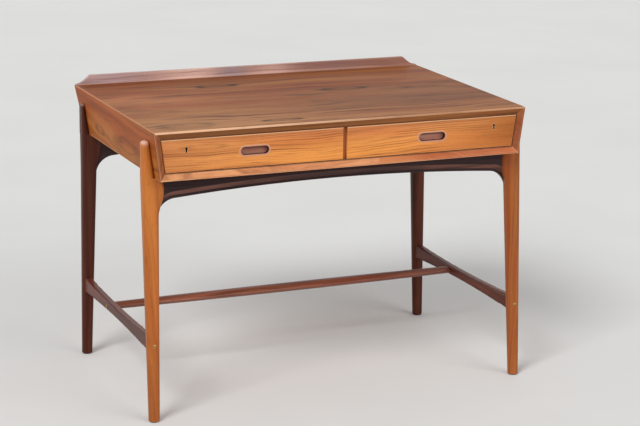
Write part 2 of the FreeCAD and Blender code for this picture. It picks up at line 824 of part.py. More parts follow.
# Recessed pull: a turned-over cup of darker wood let into the drawer front
pull_outer = stadium(pull_length, pull_height, recess_y - pull_proud, recess_y + pull_depth)
pull_hollow = stadium(
    pull_length - 2 * pull_wall, pull_height - 2 * pull_wall,
    recess_y - pull_proud - overrun, recess_y + pull_depth - pull_floor,
)
pull_cup = pull_outer.cut(pull_hollow)
right_drawer_pull = clean(
    pull_cup.makeFillet(pull_round, edges_where(pull_cup, lambda point: near(point.y, recess_y - pull_proud)))
)

# Cut-in lock: case, key pin and cover plate flush with the upper edge of the front
lock_back_y = front_back_y
lock_front_y = lock_back_y - lock_thickness
lock_low = front_high - lock_height
lock_case = block(key_x - lock_width / 2, key_x + lock_width / 2, lock_front_y, lock_back_y, lock_low, front_high)
lock_plate = block(
    key_x - lock_width / 2 - lock_plate_overhang, key_x + lock_width / 2 + lock_plate_overhang,
    lock_front_y, lock_back_y, front_high - lock_plate_thickness, front_high,
)
lock_space = lock_case.fuse(lock_plate)
bolt_middle_y = (lock_front_y + lock_back_y) / 2
bolt_top = front_high - bolt_set_down
right_lock_bolt = block(
    key_x - bolt_width / 2, key_x + bolt_width / 2,
    bolt_middle_y - bolt_thickness / 2, bolt_middle_y + bolt_thickness / 2,
    bolt_top - bolt_height, bolt_top,
)
bolt_channel = block(
    key_x - bolt_width / 2 - running_gap, key_x + bolt_width / 2 + running_gap,
    bolt_middle_y - bolt_thickness / 2 - running_gap, bolt_middle_y + bolt_thickness / 2 + running_gap,
    bolt_top - bolt_height - running_gap, front_high + overrun,
)
key_well = keyhole(lock_front_y - overrun, lock_front_y + key_well_depth)
key_pin = cylinder(key_pin_radius, V(key_x, lock_front_y, key_z), V(0, key_well_depth + sliver, 0))
lock_screw_x = lock_width / 2 - 2 * lock_screw_head_radius
right_lock_screws = [
    countersunk(
        lock_screw_head_radius, lock_screw_shank_radius, lock_screw_cone, lock_thickness + lock_screw_length, 0,
        V(key_x + side * lock_screw_x, lock_back_y, lock_low + 2 * lock_screw_head_radius), V(0, -1, 0),
    )
    for side in (-1, 1)
]
right_lock_case = clean(lock_space.cut([bolt_channel, key_well] + right_lock_screws).fuse(key_pin))

# Drawer front: slanted outer end, pull and lock let in, grooved for sides and bottom
front_outline = [
    V(front_inner_x, recess_y, front_low),
    V(front_outer_x(front_low), recess_y, front_low),
    V(front_outer_x(front_high), recess_y, front_high),
    V(front_inner_x, recess_y, front_high),
]
front_board = prism(front_outline, V(0, front_thickness, 0))
front_board = front_board.makeFillet(
    front_arris, edges_where(front_board, lambda point: near(point.y, recess_y))
)
right_drawer_front = clean(
    front_board.cut(
        [
            stadium(pull_length, pull_height, recess_y - overrun, recess_y + pull_depth),
            keyhole(recess_y - overrun, lock_back_y),
            lock_space,
            sliding_tongue(*outer_band),
            sliding_tongue(*inner_band),
            right_drawer_bottom,
        ] + right_lock_screws
    )
)

# Mortises for the lock bolts in the underside of the top
bolt_mortise = block(
    key_x - bolt_width / 2 - mortise_room, key_x + bolt_width / 2 + mortise_room,
    bolt_middle_y - bolt_thickness / 2 - mortise_room, bolt_middle_y + bolt_thickness / 2 + mortise_room,
    ceiling - overrun, ceiling + bolt_travel + mortise_room,
)
top_panel = clean(top_panel.cut([bolt_mortise, mirrored(bolt_mortise)]))

# Runners under the drawer sides, wedge guides beside them and stops behind them
runner_front_y = front_back_y + runner_setback


def under_side(band, width, outer_limit):
    """Left and right ends of a strip centred under a drawer side, kept off the divider and the case side."""
    middle = (band[0] + band[1]) / 2
    return max(middle - width / 2, half_divider), min(middle + width / 2, outer_limit)


def runner(band):
    """Waxed strip under one drawer side."""
    low, high = under_side(band, runner_width, guide_x)
    return block(low, high, runner_front_y, drawer_rear_y, floor_level, floor_level + runner_thickness)


guide_top = ceiling - guide_head_gap
guide_rear_y = drawer_rear_y - guide_rear_margin
guide_points = [
    V(guide_x, runner_front_y, floor_level),
    V(inner_x(floor_level), runner_front_y, floor_level),
    V(inner_x(guide_top), runner_front_y, guide_top),
    V(guide_x, runner_front_y, guide_top),
]
right_drawer_guide = prism(guide_points, V(0, guide_rear_y - runner_front_y, 0))


def stop_block(band):
    """Small block behind a drawer side, which sets how far the drawer closes."""
    low, high = under_side(band, stop_width, inner_x(floor_level))
    start = drawer_rear_y + running_gap
    return block(low, high, start, start + stop_length, floor_level, floor_level + stop_height)


right_stops = [stop_block(outer_band), stop_block(inner_band)]

# Hand the pieces over, each under its own name
nodes = {
    "top_panel": top_panel,
    "left_side_panel": left_side_panel,
    "right_side_panel": right_side_panel,
    "bottom_panel": bottom_panel,
    "back_panel": back_panel,
    "center_divider": center_divider,
    "back_lip": back_lip,
    "front_rail": front_rail,
    "rear_rail": rear_rail,
    "long_stretcher": long_stretcher,
    "stretcher_screws": group([rear_right_screw, front_right_screw, mirrored(rear_right_screw), mirrored(front_right_screw)]),
    "long_stretcher_bolts": group([right_bolt, mirrored(right_bolt)]),
    "leg_case_screws": group(right_leg_screws + [mirrored(screw) for screw in right_leg_screws]),
    "rail_case_screws": group(rail_screws),
    "foot_glides": group(right_glides + [mirrored(foot) for foot in right_glides]),
    "drawer_stops": group(right_stops + [mirrored(stop) for stop in right_stops]),
}
right_nodes = {
    "front_right_leg": front_right_leg,
    "rear_right_leg": rear_right_leg,
    "right_side_stretcher": right_side_stretcher,
    "right_drawer_guide": right_drawer_guide,
    "right_outer_runner": runner(outer_band),
    "right_inner_runner": runner(inner_band),
    "right_drawer_front": right_drawer_front,
    "right_drawer_outer_side": right_drawer_outer_side,
    "right_drawer_inner_side": right_drawer_inner_side,
    "right_drawer_back": right_drawer_back,
    "right_drawer_bottom": right_drawer_bottom,
    "right_drawer_pull": right_drawer_pull,
    "right_lock_case": right_lock_case,
    "right_lock_screws": group(right_lock_screws),
    "right_lock_bolt": right_lock_bolt,
}
for name, shape in right_nodes.items():
    nodes[name] = shape
    nodes[name.replace("right", "left")] = mirrored(shape)

os.makedirs("parts", exist_ok=True)
for name, shape in nodes.items():
    shape.exportStep(os.path.join("parts", name + ".step"))
    solids = len(shape.Solids)
    print(f"{name}: {solids} solid(s), {shape.Volume / 1000:.1f} cm3, valid {shape.isValid()}")
whole = Part.makeCompound(list(nodes.values())).BoundBox
print(f"{len(nodes)} nodes, {whole.XLength:.1f} x {whole.YLength:.1f} x {whole.ZLength:.1f} mm")
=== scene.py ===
"""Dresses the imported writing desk: oiled teak, brass screws, a plain studio and the photograph's camera.

Every board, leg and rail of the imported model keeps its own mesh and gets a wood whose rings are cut
from a log that lies along that piece, so the grain runs through it as it does in real timber.
Lengths are in metres, angles in degrees and colours in screen tones from 0 to 255.
"""
import logging
import math
from dataclasses import dataclass, field, replace
from enum import Enum
from typing import Any, Mapping, Optional, Sequence, Union

import bpy
from mathutils import Matrix, Vector


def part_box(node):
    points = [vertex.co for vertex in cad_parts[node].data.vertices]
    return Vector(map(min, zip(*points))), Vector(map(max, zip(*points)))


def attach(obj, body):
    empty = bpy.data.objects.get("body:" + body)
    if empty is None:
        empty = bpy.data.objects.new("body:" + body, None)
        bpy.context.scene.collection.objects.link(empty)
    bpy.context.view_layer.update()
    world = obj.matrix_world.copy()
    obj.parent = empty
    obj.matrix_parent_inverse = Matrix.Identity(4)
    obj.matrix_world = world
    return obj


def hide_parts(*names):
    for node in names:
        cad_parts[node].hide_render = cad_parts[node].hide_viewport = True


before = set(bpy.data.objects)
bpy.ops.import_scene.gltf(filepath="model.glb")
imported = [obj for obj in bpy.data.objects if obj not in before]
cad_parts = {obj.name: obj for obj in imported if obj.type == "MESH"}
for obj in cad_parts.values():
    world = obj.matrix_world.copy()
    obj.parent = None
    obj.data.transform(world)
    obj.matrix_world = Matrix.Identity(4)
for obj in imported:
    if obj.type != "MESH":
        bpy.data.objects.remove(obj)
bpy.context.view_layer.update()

SRGB_OFFSET = 0.055
SRGB_POWER = 2.4
SIDES = ("left", "right")
log = logging.getLogger("writing_desk")

Triple = tuple[float, float, float]
Colour = tuple[float, float, float, float]
Fade = tuple[float, float]  # where a mask starts to change, and where it has changed


class Grain(Enum):
    """The way that a piece's fibres run, as the order of its along, across and deep axes."""

    LEVEL = (0, 1, 2)
    FRONT_TO_BACK = (1, 0, 2)
    UPRIGHT = (2, 0, 1)
    LEVEL_ON_EDGE = (0, 2, 1)
    FRONT_TO_BACK_ON_EDGE = (1, 2, 0)


def paint(red: float, green: float, blue: float) -> Colour:
    """Turns a screen colour from 0 to 255 into the linear colour that a shader reads.

    Args:
        red: Red as seen on a screen.
        green: Green as seen on a screen.
        blue: Blue as seen on a screen.

    Returns:
        Linear red, green and blue, and an alpha of 1.
    """
    shares = (tone / 255 for tone in (red, green, blue))
    linear = [((share + SRGB_OFFSET) / (1 + SRGB_OFFSET)) ** SRGB_POWER for share in shares]
    return (*linear, 1.0)


def dimmed(colour: Triple, share: float) -> Colour:
    """The linear colour of a screen colour whose tones are cut to the given share."""
    return paint(*(tone * share for tone in colour))


class Number:
    """A socket's number. Python's operators on it add Math nodes."""

    def __init__(self, nodes: "Nodes", socket: bpy.types.NodeSocket) -> None:
        """Wraps a socket of the given tree."""
        self.nodes = nodes
        self.socket = socket

    def _math(self, operation: str, *values: "Plain") -> "Number":
        """Adds one Math node over the values and returns its result."""
        node = self.nodes.node("ShaderNodeMath", {"operation": operation}, dict(enumerate(values)))
        return Number(self.nodes, node.outputs[0])

    def __add__(self, other: "Plain") -> "Number":
        """Sum."""
        return self._math("ADD", self, other)

    def __radd__(self, other: "Plain") -> "Number":
        """Sum with a plain number first."""
        return self._math("ADD", other, self)

    def __sub__(self, other: "Plain") -> "Number":
        """Difference."""
        return self._math("SUBTRACT", self, other)

    def __rsub__(self, other: "Plain") -> "Number":
        """Difference with a plain number first."""
        return self._math("SUBTRACT", other, self)

    def __mul__(self, other: "Plain") -> "Number":
        """Product."""
        return self._math("MULTIPLY", self, other)

    def __truediv__(self, other: "Plain") -> "Number":
        """Quotient."""
        return self._math("DIVIDE", self, other)

    def __pow__(self, other: "Plain") -> "Number":
        """Power."""
        return self._math("POWER", self, other)

    def __neg__(self) -> "Number":
        """The number with its sign changed."""
        return self._math("MULTIPLY", self, -1.0)

    def __abs__(self) -> "Number":
        """The number without its sign."""
        return self._math("ABSOLUTE", self)

    def exponent(self) -> "Number":
        """Natural exponent."""
        return self._math("EXPONENT", self)

    def root(self) -> "Number":
        """Square root."""
        return self._math("SQRT", self)

    def fraction(self) -> "Number":
        """What is left over a whole number."""
        return self._math("FRACT", self)

    def at_most(self, other: "Plain") -> "Number":
        """The lesser of two numbers."""
        return self._math("MINIMUM", self, other)

    def at_least(self, other: "Plain") -> "Number":
        """The greater of two numbers."""
        return self._math("MAXIMUM", self, other)

    def rise(self, low: float, high: float) -> "Number":
        """A smooth mask that goes from 0 at low to 1 at high.

        Args:
            low: Where the mask starts to rise.
            high: Where it has risen.

        Returns:
            The mask, from 0 to 1.
        """
        node = self.nodes.node(
            "ShaderNodeMapRange", {"interpolation_type": "SMOOTHSTEP"},
            {"Value": self, "From Min": low, "From Max": high},
        )
        return Number(self.nodes, node.outputs[0])

    def fall(self, low: float, high: float) -> "Number":
        """A smooth mask that goes from 1 at low to 0 at high."""
        return 1.0 - self.rise(low, high)


Plain = Union[Number, bpy.types.NodeSocket, float]
Given = Union[Plain, Sequence[float]]


@dataclass(frozen=True)
class Pattern:
    """A cloudy noise: how often it changes in a metre each way, and how fine and rough it is."""

    along: float
    across: float
    deep: float
    detail: float = 2.0
    roughness: float = 0.5
    shift: float = 0.0


class Nodes:
    """A node tree while it is being filled."""

    def __init__(self, tree: bpy.types.NodeTree) -> None:
        """Empties the tree."""
        self.tree = tree
        self.tree.nodes.clear()

    def node(
        self,
        kind: str,
        settings: Optional[Mapping[str, Any]] = None,
        inputs: Optional[Mapping[Union[str, int], Given]] = None,
    ) -> bpy.types.Node:
        """Adds a node, sets it up and then feeds its sockets.

        Args:
            kind: The node's type.
            settings: Its own settings.
            inputs: A value or a link for each socket, by name or number.

        Returns:
            The new node.
        """
        node = self.tree.nodes.new(kind)
        for key, value in (settings or {}).items():
            setattr(node, key, value)
        for key, value in (inputs or {}).items():
            self.feed(node.inputs[key], value)
        return node

    def feed(self, socket: bpy.types.NodeSocket, value: Given) -> None:
        """Links a socket to a number or another socket, or sets its value.

        Args:
            socket: The socket to feed.
            value: What it gets.
        """
        if isinstance(value, Number):
            value = value.socket
        if isinstance(value, bpy.types.NodeSocket):
            self.tree.links.new(value, socket)
        else:
            socket.default_value = value


class Mixture(Nodes):
    """A material while it is being mixed."""

    bevel_samples = 6
    edge_fade: Fade = (0.015, 0.16)
    coat_roughness = 0.22

    def __init__(self, name: str) -> None:
        """Starts an empty material with a Principled surface.

        Args:
            name: The material's name.
        """
        self.material = bpy.data.materials.new(name)
        self.material.use_nodes = True
        super().__init__(self.material.node_tree)
        self.shader = self.node("ShaderNodeBsdfPrincipled")
        self.node("ShaderNodeOutputMaterial", inputs={"Surface": self.shader.outputs[0]})

    def axes(self, grain: Grain) -> list[Number]:
        """The place on the piece, in metres, along the grain, across it and through it.

        Args:
            grain: The way that the fibres run.

        Returns:
            Three numbers in that order.
        """
        place = self.node("ShaderNodeTexCoord").outputs["Object"]
        parts = self.node("ShaderNodeSeparateXYZ", inputs={0: place}).outputs
        return [Number(self, parts[axis]) for axis in grain.value]

    def normal(self) -> list[Number]:
        """The way that the surface looks, as its three parts.

        Returns:
            Its parts to the right, to the rear and upwards.
        """
        looks = self.node("ShaderNodeNewGeometry").outputs["Normal"]
        parts = self.node("ShaderNodeSeparateXYZ", inputs={0: looks}).outputs
        return [Number(self, part) for part in parts]

    def noise(self, pattern: Pattern, along: Number, across: Number, deep: Number) -> Number:
        """Cloudy noise, about 0.5 on average.

        Args:
            pattern: How often it changes, and how rough it is.
            along: Place along the grain.
            across: Place across the grain.
            deep: Place through the piece.

        Returns:
            The noise at that place.
        """
        scaled = {
            0: along * pattern.along + pattern.shift, 1: across * pattern.across, 2: deep * pattern.deep,
        }
        place = self.node("ShaderNodeCombineXYZ", inputs=scaled).outputs[0]
        node = self.node(
            "ShaderNodeTexNoise", {"noise_dimensions": "3D"},
            {"Vector": place, "Scale": 1.0, "Detail": pattern.detail, "Roughness": pattern.roughness},
        )
        return Number(self, node.outputs[0])

    def blend(self, share: Plain, first: Given, second: Given) -> bpy.types.NodeSocket:
        """A colour that goes from the first to the second as the share goes from 0 to 1."""
        node = self.node("ShaderNodeMix", {"data_type": "RGBA"}, {0: share, 6: first, 7: second})
        return node.outputs[2]

    def tint(self, share: Plain, colour: Given, veil: Given) -> bpy.types.NodeSocket:
        """The colour multiplied by a veil, to the given share."""
        settings = {"data_type": "RGBA", "blend_type": "MULTIPLY"}
        return self.node("ShaderNodeMix", settings, {0: share, 6: colour, 7: veil}).outputs[2]

    def edges(self, reach: float) -> Number:
        """A mask that is 1 on the piece's edges and 0 on its flats.

        Args:
            reach: How far from an edge the mask fades, in metres.

        Returns:
            The mask, from the angle between the rounded normal and the plain one.
        """
        samples = {"samples": self.bevel_samples}
        rounded = self.node("ShaderNodeBevel", samples, {"Radius": reach}).outputs[0]
        plain = self.node("ShaderNodeNewGeometry").outputs["Normal"]
        match = self.node("ShaderNodeVectorMath", {"operation": "DOT_PRODUCT"}, {0: rounded, 1: plain})
        return (1.0 - Number(self, match.outputs["Value"])).rise(*self.edge_fade)

    def finish(
        self,
        colour: Given,
        roughness: Given,
        height: Optional[Plain] = None,
        relief: float = 0.0,
        metal: float = 0.0,
        coat: float = 0.0,
        gloss: float = 0.5,
    ) -> bpy.types.Material:
        """Feeds the surface and returns the material.

        Args:
            colour: Base colour.
            roughness: Surface roughness.
            height: Relief pattern from 0 to 1, if the surface has one.
            relief: How deep that relief is, in metres.
            metal: 1 for bare metal, else 0.
            coat: Weight of a thin clear coat.
            gloss: How strongly the bare surface mirrors, 0.5 for clear varnish.

        Returns:
            The finished material.
        """
        self.feed(self.shader.inputs["Base Color"], colour)
        self.feed(self.shader.inputs["Roughness"], roughness)
        self.shader.inputs["Metallic"].default_value = metal
        self.shader.inputs["Coat Weight"].default_value = coat
        self.shader.inputs["Coat Roughness"].default_value = self.coat_roughness
        self.shader.inputs["Specular IOR Level"].default_value = gloss
        if height is not None:
            bump = self.node(
                "ShaderNodeBump", inputs={"Strength": 1.0, "Distance": relief, "Height": height}
            )
            self.feed(self.shader.inputs["Normal"], bump.outputs[0])
        return self.material


@dataclass(frozen=True)
class Eye:
    """A knot in a board: the rings part round it, and its rim is dark, most at both ends."""

    along: float
    across: float
    length: float
    width: float
    bulge: float = 0.02
    stain: float = 0.5


@dataclass(frozen=True)
class Patch:
    """A soft cloud of another colour on a board."""

    along: float
    across: float
    length: float
    width: float
    colour: Triple
    share: float


@dataclass(frozen=True)
class Figure:
    """What the figure of every board shares: its noises, where each fades in, and what each does."""

    # ground colour
    broad: Pattern = Pattern(0.8, 1.0, 3.0, 3.0, 0.6)
    broad_fade: Fade = (0.36, 0.64)
    cloud: Pattern = Pattern(1.6, 9.0, 9.0, shift=3.0)
    red_fade: Fade = (0.42, 0.66)
    # patches of edge wear and painted highlight
    wear_and_highlight_fade: Fade = (0.26, 0.52)

    # streaks and pores
    streak: Pattern = Pattern(1.7, 2.1, 5.0, 4.0, 0.62, shift=7.0)
    streak_fade: Fade = (0.50, 0.72)
    streak_pull: float = 0.8
    late_start: Fade = (0.45, 0.90)
    late_end: Fade = (0.93, 1.0)
    broken: Pattern = Pattern(4.5, 0.45, 4.0, 3.0, 0.65)
    broken_fade: Fade = (0.42, 0.66)
    hair: Pattern = Pattern(9.0, 620.0, 620.0, 2.0, 0.6)
    hair_fade: Fade = (0.50, 0.78)
    pore: Pattern = Pattern(130.0, 2300.0, 2300.0, 1.0)
    pore_fade: Fade = (0.64, 0.73)
    pore_tone: float = 0.6

    # rings and eyes
    sway: Pattern = Pattern(1.1, 2.5, 2.5)
    sway_reach: float = 6.0
    ripple: Pattern = Pattern(6.0, 14.0, 14.0)
    frayed: Pattern = Pattern(30.0, 90.0, 20.0, 2.0, 0.6)
    fray: float = 1.2
    bulge_fall: float = 0.5
    rim_fall: float = 2.5
    end_fade: Fade = (0.35, 0.95)
    end_share: float = 0.5
    stain_tone: float = 0.55
    heart_fade: Fade = (0.3, 1.1)
    heart_share: float = 0.5
    heart_tone: float = 0.82

    # gloss and relief
    hair_rough: float = 0.10
    pore_rough: float = 0.12
    rub_polish: float = 0.10
    polish: float = 0.05
    hair_dip: float = 0.3
    late_dip: float = 0.2
    pore_dip: float = 0.5


@dataclass(frozen=True)
class Wood:
    """A board's timber: its colours, its log, its pores, and its edges lightened by wear and painted
    highlight.
    """

    name: str
    grain: Grain
    body: Triple
    light: Triple
    dark: Triple
    pith_across: float = 0.0
    pith_deep: float = -0.2
    ring: float = 0.008
    wander: float = 0.010
    band: float = 0.030
    streaks: float = 0.6
    lines: float = 0.5
    fine: float = 0.4
    warmth: float = 0.5
    red: Triple = (214, 120, 92)
    roughness: float = 0.40
    gloss: float = 0.08
    coat: float = 0.0
    pores: float = 0.45
    relief: float = 0.00010
    # edges lightened in cloudy patches: partly wear, partly painted highlight
    wear_and_highlight: float = 0.5
    edge_reach: float = 0.0024
    worn_and_lit: Triple = (222, 166, 122)
    eyes: tuple[Eye, ...] = ()
    patches: tuple[Patch, ...] = ()
    figure: Figure = Figure()

    def material(self) -> bpy.types.Material:
        """Mixes the timber.

        Returns:
            The material, whose pattern follows the piece's own place.
        """
        mix = Mixture(self.name)
        figure = self.figure
        along, across, deep = mix.axes(self.grain)
        radius, stains, hearts = self._rings(mix, along, across, deep)
        turn = radius / self.ring
        bands = radius / self.band

        broad = mix.noise(figure.broad, along, bands, deep)
        colour = mix.blend(broad.rise(*figure.broad_fade), paint(*self.body), paint(*self.light))
        cloud = mix.noise(figure.cloud, along, across, deep)
        colour = mix.tint(cloud.rise(*figure.red_fade) * self.warmth, colour, paint(*self.red))
        for patch in self.patches:
            near = self._near(along, across, patch)
            colour = mix.blend((-near).exponent() * patch.share, colour, paint(*patch.colour))

        streak = mix.noise(figure.streak, along, bands, deep)
        colour = mix.blend(streak.rise(*figure.streak_fade) * self.streaks, colour, paint(*self.dark))
        phase = (turn + streak * figure.streak_pull).fraction()
        late = phase.rise(*figure.late_start) * phase.fall(*figure.late_end)
        broken = mix.noise(figure.broken, along, turn, deep).rise(*figure.broken_fade)
        colour = mix.blend(late * broken * self.lines, colour, paint(*self.dark))
        if self.eyes:
            colour = mix.blend(sum(hearts), colour, dimmed(self.body, figure.heart_tone))
            colour = mix.blend(sum(stains).at_most(1.0), colour, dimmed(self.dark, figure.stain_tone))

        hair = mix.noise(figure.hair, along, across, deep)
        colour = mix.blend(hair.rise(*figure.hair_fade) * self.fine, colour, paint(*self.dark))
        pore = mix.noise(figure.pore, along, across, deep).rise(*figure.pore_fade)
        colour = mix.blend(pore * self.pores, colour, dimmed(self.dark, figure.pore_tone))
        colour = self._local(mix, colour)

        # Lightens the edges in cloudy patches: partly wear, partly painted highlight along the arrises.
        rubbed_and_lit = mix.edges(self.edge_reach) * cloud.rise(*figure.wear_and_highlight_fade) * self.wear_and_highlight
        colour = mix.blend(rubbed_and_lit, colour, paint(*self.worn_and_lit))

        rough = self.roughness + hair * figure.hair_rough + pore * figure.pore_rough
        rough = rough - rubbed_and_lit * figure.rub_polish - figure.polish
        height = 1.0 - hair * figure.hair_dip - late * figure.late_dip - pore * figure.pore_dip
        return mix.finish(colour, rough, height, self.relief, coat=self.coat, gloss=self.gloss)

    def _local(self, mix: Mixture, colour: bpy.types.NodeSocket) -> bpy.types.NodeSocket:
        """Lets a special board colour its own corners. A plain board changes nothing."""
        return colour

    @staticmethod
    def _near(along: Number, across: Number, spot: Union[Eye, Patch]) -> Number:
        """How far a place is from a spot's middle, squared, where 1 is on its rim."""
        beside = ((along - spot.along) / spot.length) ** 2.0
        return beside + ((across - spot.across) / spot.width) ** 2.0

    def _rings(
        self, mix: Mixture, along: Number, across: Number, deep: Number
    ) -> tuple[Number, list[Number], list[Number]]:
        """The distance from the log's heart, bent by the eyes, and the eyes' rims and hearts.

        Args:
            mix: The mixture to add nodes to.
            along: Place along the grain.
            across: Place across the grain.
            deep: Place through the board.

        Returns:
            The radius, and for each eye a mask of its dark rim and one of its duller heart.
        """
        figure = self.figure
        sway = mix.noise(figure.sway, along, across, deep) - 0.5
        ripple = mix.noise(figure.ripple, along, across, deep) - 0.5
        aside = across - self.pith_across
        below = deep - self.pith_deep
        radius = (aside * aside + below * below).root()
        radius = radius + sway * (self.wander * figure.sway_reach) + ripple * self.wander
        if not self.eyes:
            return radius, [], []
        stains, hearts = [], []
        frayed = mix.noise(figure.frayed, along, across, deep)
        for eye in self.eyes:
            far = self._near(along, across, eye) + (frayed - 0.5) * figure.fray
            radius = radius + (far * -figure.bulge_fall).exponent() * eye.bulge
            rim = (-((far - 1.0) ** 2.0) * figure.rim_fall).exponent()
            end = (abs(along - eye.along) / eye.length).rise(*figure.end_fade)
            stains.append(rim * (end * figure.end_share + (1.0 - figure.end_share)) * eye.stain)
            hearts.append(far.fall(*figure.heart_fade) * (figure.heart_share * eye.stain))
        return radius, stains, hearts


@dataclass(frozen=True)
class CaseWood(Wood):
    """A board of the case, with painted shade in the corner round the drawers.

    The corner is found by its depth from the front, and its faces look at the case's middle.
    """

    corner_start: Fade = (-0.3178, -0.3166)
    corner_end: Fade = (-0.3000, -0.2880)
    inward_fade: Fade = (0.0015, 0.006)
    middle_height: float = 0.66
    # painted shade in the corner round the drawers
    painted_corner_shade: Triple = (54, 32, 26)
    painted_corner_shade_share: float = 0.75

    def _local(self, mix: Mixture, colour: bpy.types.NodeSocket) -> bpy.types.NodeSocket:
        """Paints shade on the inward faces next to the drawer fronts.

        Args:
            mix: The mixture to add nodes to.
            colour: The wood's colour so far.

        Returns:
            The colour with painted shade in the corner.
        """
        across, back, up = mix.axes(Grain.LEVEL)
        face = mix.normal()
        inward = -(face[0] * across + face[2] * (up - self.middle_height))
        corner = back.rise(*self.corner_start) * back.fall(*self.corner_end)
        # Painted shade on the case's faces that look into the gaps round the drawers.
        share = corner * inward.rise(*self.inward_fade) * self.painted_corner_shade_share
        return mix.blend(share, colour, paint(*self.painted_corner_shade))


@dataclass(frozen=True)
class TopWood(CaseWood):
    """The top board, its front arris bright with wear and a painted highlight, and the bevel below it
    darker with painted shade.
    """

    nose_rear: Fade = (-0.3240, -0.3232)
    nose_foot: Fade = (0.7150, 0.7158)
    bevel_rear: Fade = (-0.3150, -0.3140)
    leftward_fade: Fade = (-0.32, 0.30)
    rightward_loss: float = 0.65
    blotch: Pattern = Pattern(14.0, 30.0, 30.0, 3.0, 0.6)
    blotch_fade: Fade = (0.25, 0.55)
    blotch_share: float = 0.5
    # painted highlight, over some wear, on the front arris
    rubbed_and_lit: Triple = (238, 190, 154)
    rubbed_and_lit_share: float = 0.85
    # painted shade on the downward bevel
    shade: Triple = (112, 64, 36)
    shade_share: float = 0.65

    def _local(self, mix: Mixture, colour: bpy.types.NodeSocket) -> bpy.types.NodeSocket:
        """Paints a highlight on the front arris, most on the left, and shade on the bevel.

        Args:
            mix: The mixture to add nodes to.
            colour: The wood's colour so far.

        Returns:
            The colour with its arris and its bevel.
        """
        colour = super()._local(mix, colour)
        across, back, up = mix.axes(Grain.LEVEL)
        leftward = 1.0 - across.rise(*self.leftward_fade) * self.rightward_loss
        blotch = mix.noise(self.blotch, across, back, up).rise(*self.blotch_fade)
        patchy = blotch * self.blotch_share + (1.0 - self.blotch_share)
        upper = up.rise(*self.nose_foot)
        nose = upper * back.fall(*self.nose_rear)
        bevel = (1.0 - upper) * back.fall(*self.bevel_rear)
        # Painted shade on the bevel, then a painted highlight with some wear on the arris, both fading
        # towards the right.
        colour = mix.blend(bevel * leftward * self.shade_share, colour, paint(*self.shade))
        return mix.blend(nose * leftward * patchy * self.rubbed_and_lit_share, colour, paint(*self.rubbed_and_lit))


@dataclass(frozen=True)
class RailWood(Wood):
    """A rail, almost black on its face from dark wood and painted shade, with painted light along the
    bevel towards its ends and painted shade on its underside.
    """

    # painted light on the downward bevel, most towards the ends
    bevel: Triple = (126, 84, 72)
    bevel_fade: Fade = (0.12, 0.35)
    # painted shade on the underside
    underside: Triple = (64, 38, 40)
    underside_fade: Fade = (0.80, 0.92)
    bright_fade: Fade = (0.08, 0.34)
    bright_share: float = 0.75
    bright_least: float = 0.20
    streaky: Pattern = Pattern(7.0, 40.0, 90.0, 3.0, 0.6)
    streaky_fade: Fade = (0.30, 0.62)
    streaky_share: float = 0.7

    def _local(self, mix: Mixture, colour: bpy.types.NodeSocket) -> bpy.types.NodeSocket:
        """Paints light on the downward bevel and shade on the underside.

        Args:
            mix: The mixture to add nodes to.
            colour: The wood's colour so far.

        Returns:
            The colour with its bevel and its underside.
        """
        down = -mix.normal()[2]
        across, back, up = mix.axes(Grain.LEVEL)
        streak = mix.noise(self.streaky, across, back, up).rise(*self.streaky_fade)
        streak = streak * self.streaky_share + (1.0 - self.streaky_share)
        far = abs(across).rise(*self.bright_fade) * self.bright_share + self.bright_least
        # Painted light on the bevel and painted shade on the underside, by the way each faces.
        colour = mix.blend(down.rise(*self.bevel_fade) * far * streak, colour, paint(*self.bevel))
        return mix.blend(down.rise(*self.underside_fade), colour, paint(*self.underside))


@dataclass(frozen=True)
class FrontWood(Wood):
    """A drawer front, with a painted highlight along its upper arris and painted shade inside its keyhole.

    The keyhole's fades are measured from its round end, and the arris's from the front's upper edge.
    """

    key_across: float = 0.41
    key_height: float = 0.6755
    head: float = 0.023
    key_beside: Fade = (0.0058, 0.0068)
    key_foot: Fade = (-0.0135, -0.0125)
    key_top: Fade = (0.004, 0.005)
    wall_front: Fade = (-0.3157, -0.3153)
    wall_rear: Fade = (-0.2985, -0.2980)
    # painted shade inside the keyhole
    painted_keyhole_shade: Triple = (26, 17, 15)
    # where the painted highlight on the upper arris lies
    arris_foot: Fade = (-0.0024, -0.0012)
    arris_rear: Fade = (-0.3157, -0.3147)
    arris_share: float = 0.6

    def _local(self, mix: Mixture, colour: bpy.types.NodeSocket) -> bpy.types.NodeSocket:
        """Paints a highlight on the upper arris and shade on the walls of the keyhole.

        Args:
            mix: The mixture to add nodes to.
            colour: The wood's colour so far.

        Returns:
            The colour with its arris and its keyhole.
        """
        across, back, up = mix.axes(Grain.LEVEL)
        level = up - self.key_height
        # A painted highlight on the upper arris only, as light falls from above.
        arris = (level - self.head).rise(*self.arris_foot) * back.fall(*self.arris_rear)
        colour = mix.blend(arris * self.arris_share, colour, paint(*self.worn_and_lit))
        # Painted shade on the keyhole's walls.
        beside = abs(abs(across) - self.key_across).fall(*self.key_beside)
        within = level.rise(*self.key_foot) * level.fall(*self.key_top)
        inside = back.rise(*self.wall_front) * back.fall(*self.wall_rear)
        return mix.blend(beside * within * inside, colour, paint(*self.painted_keyhole_shade))


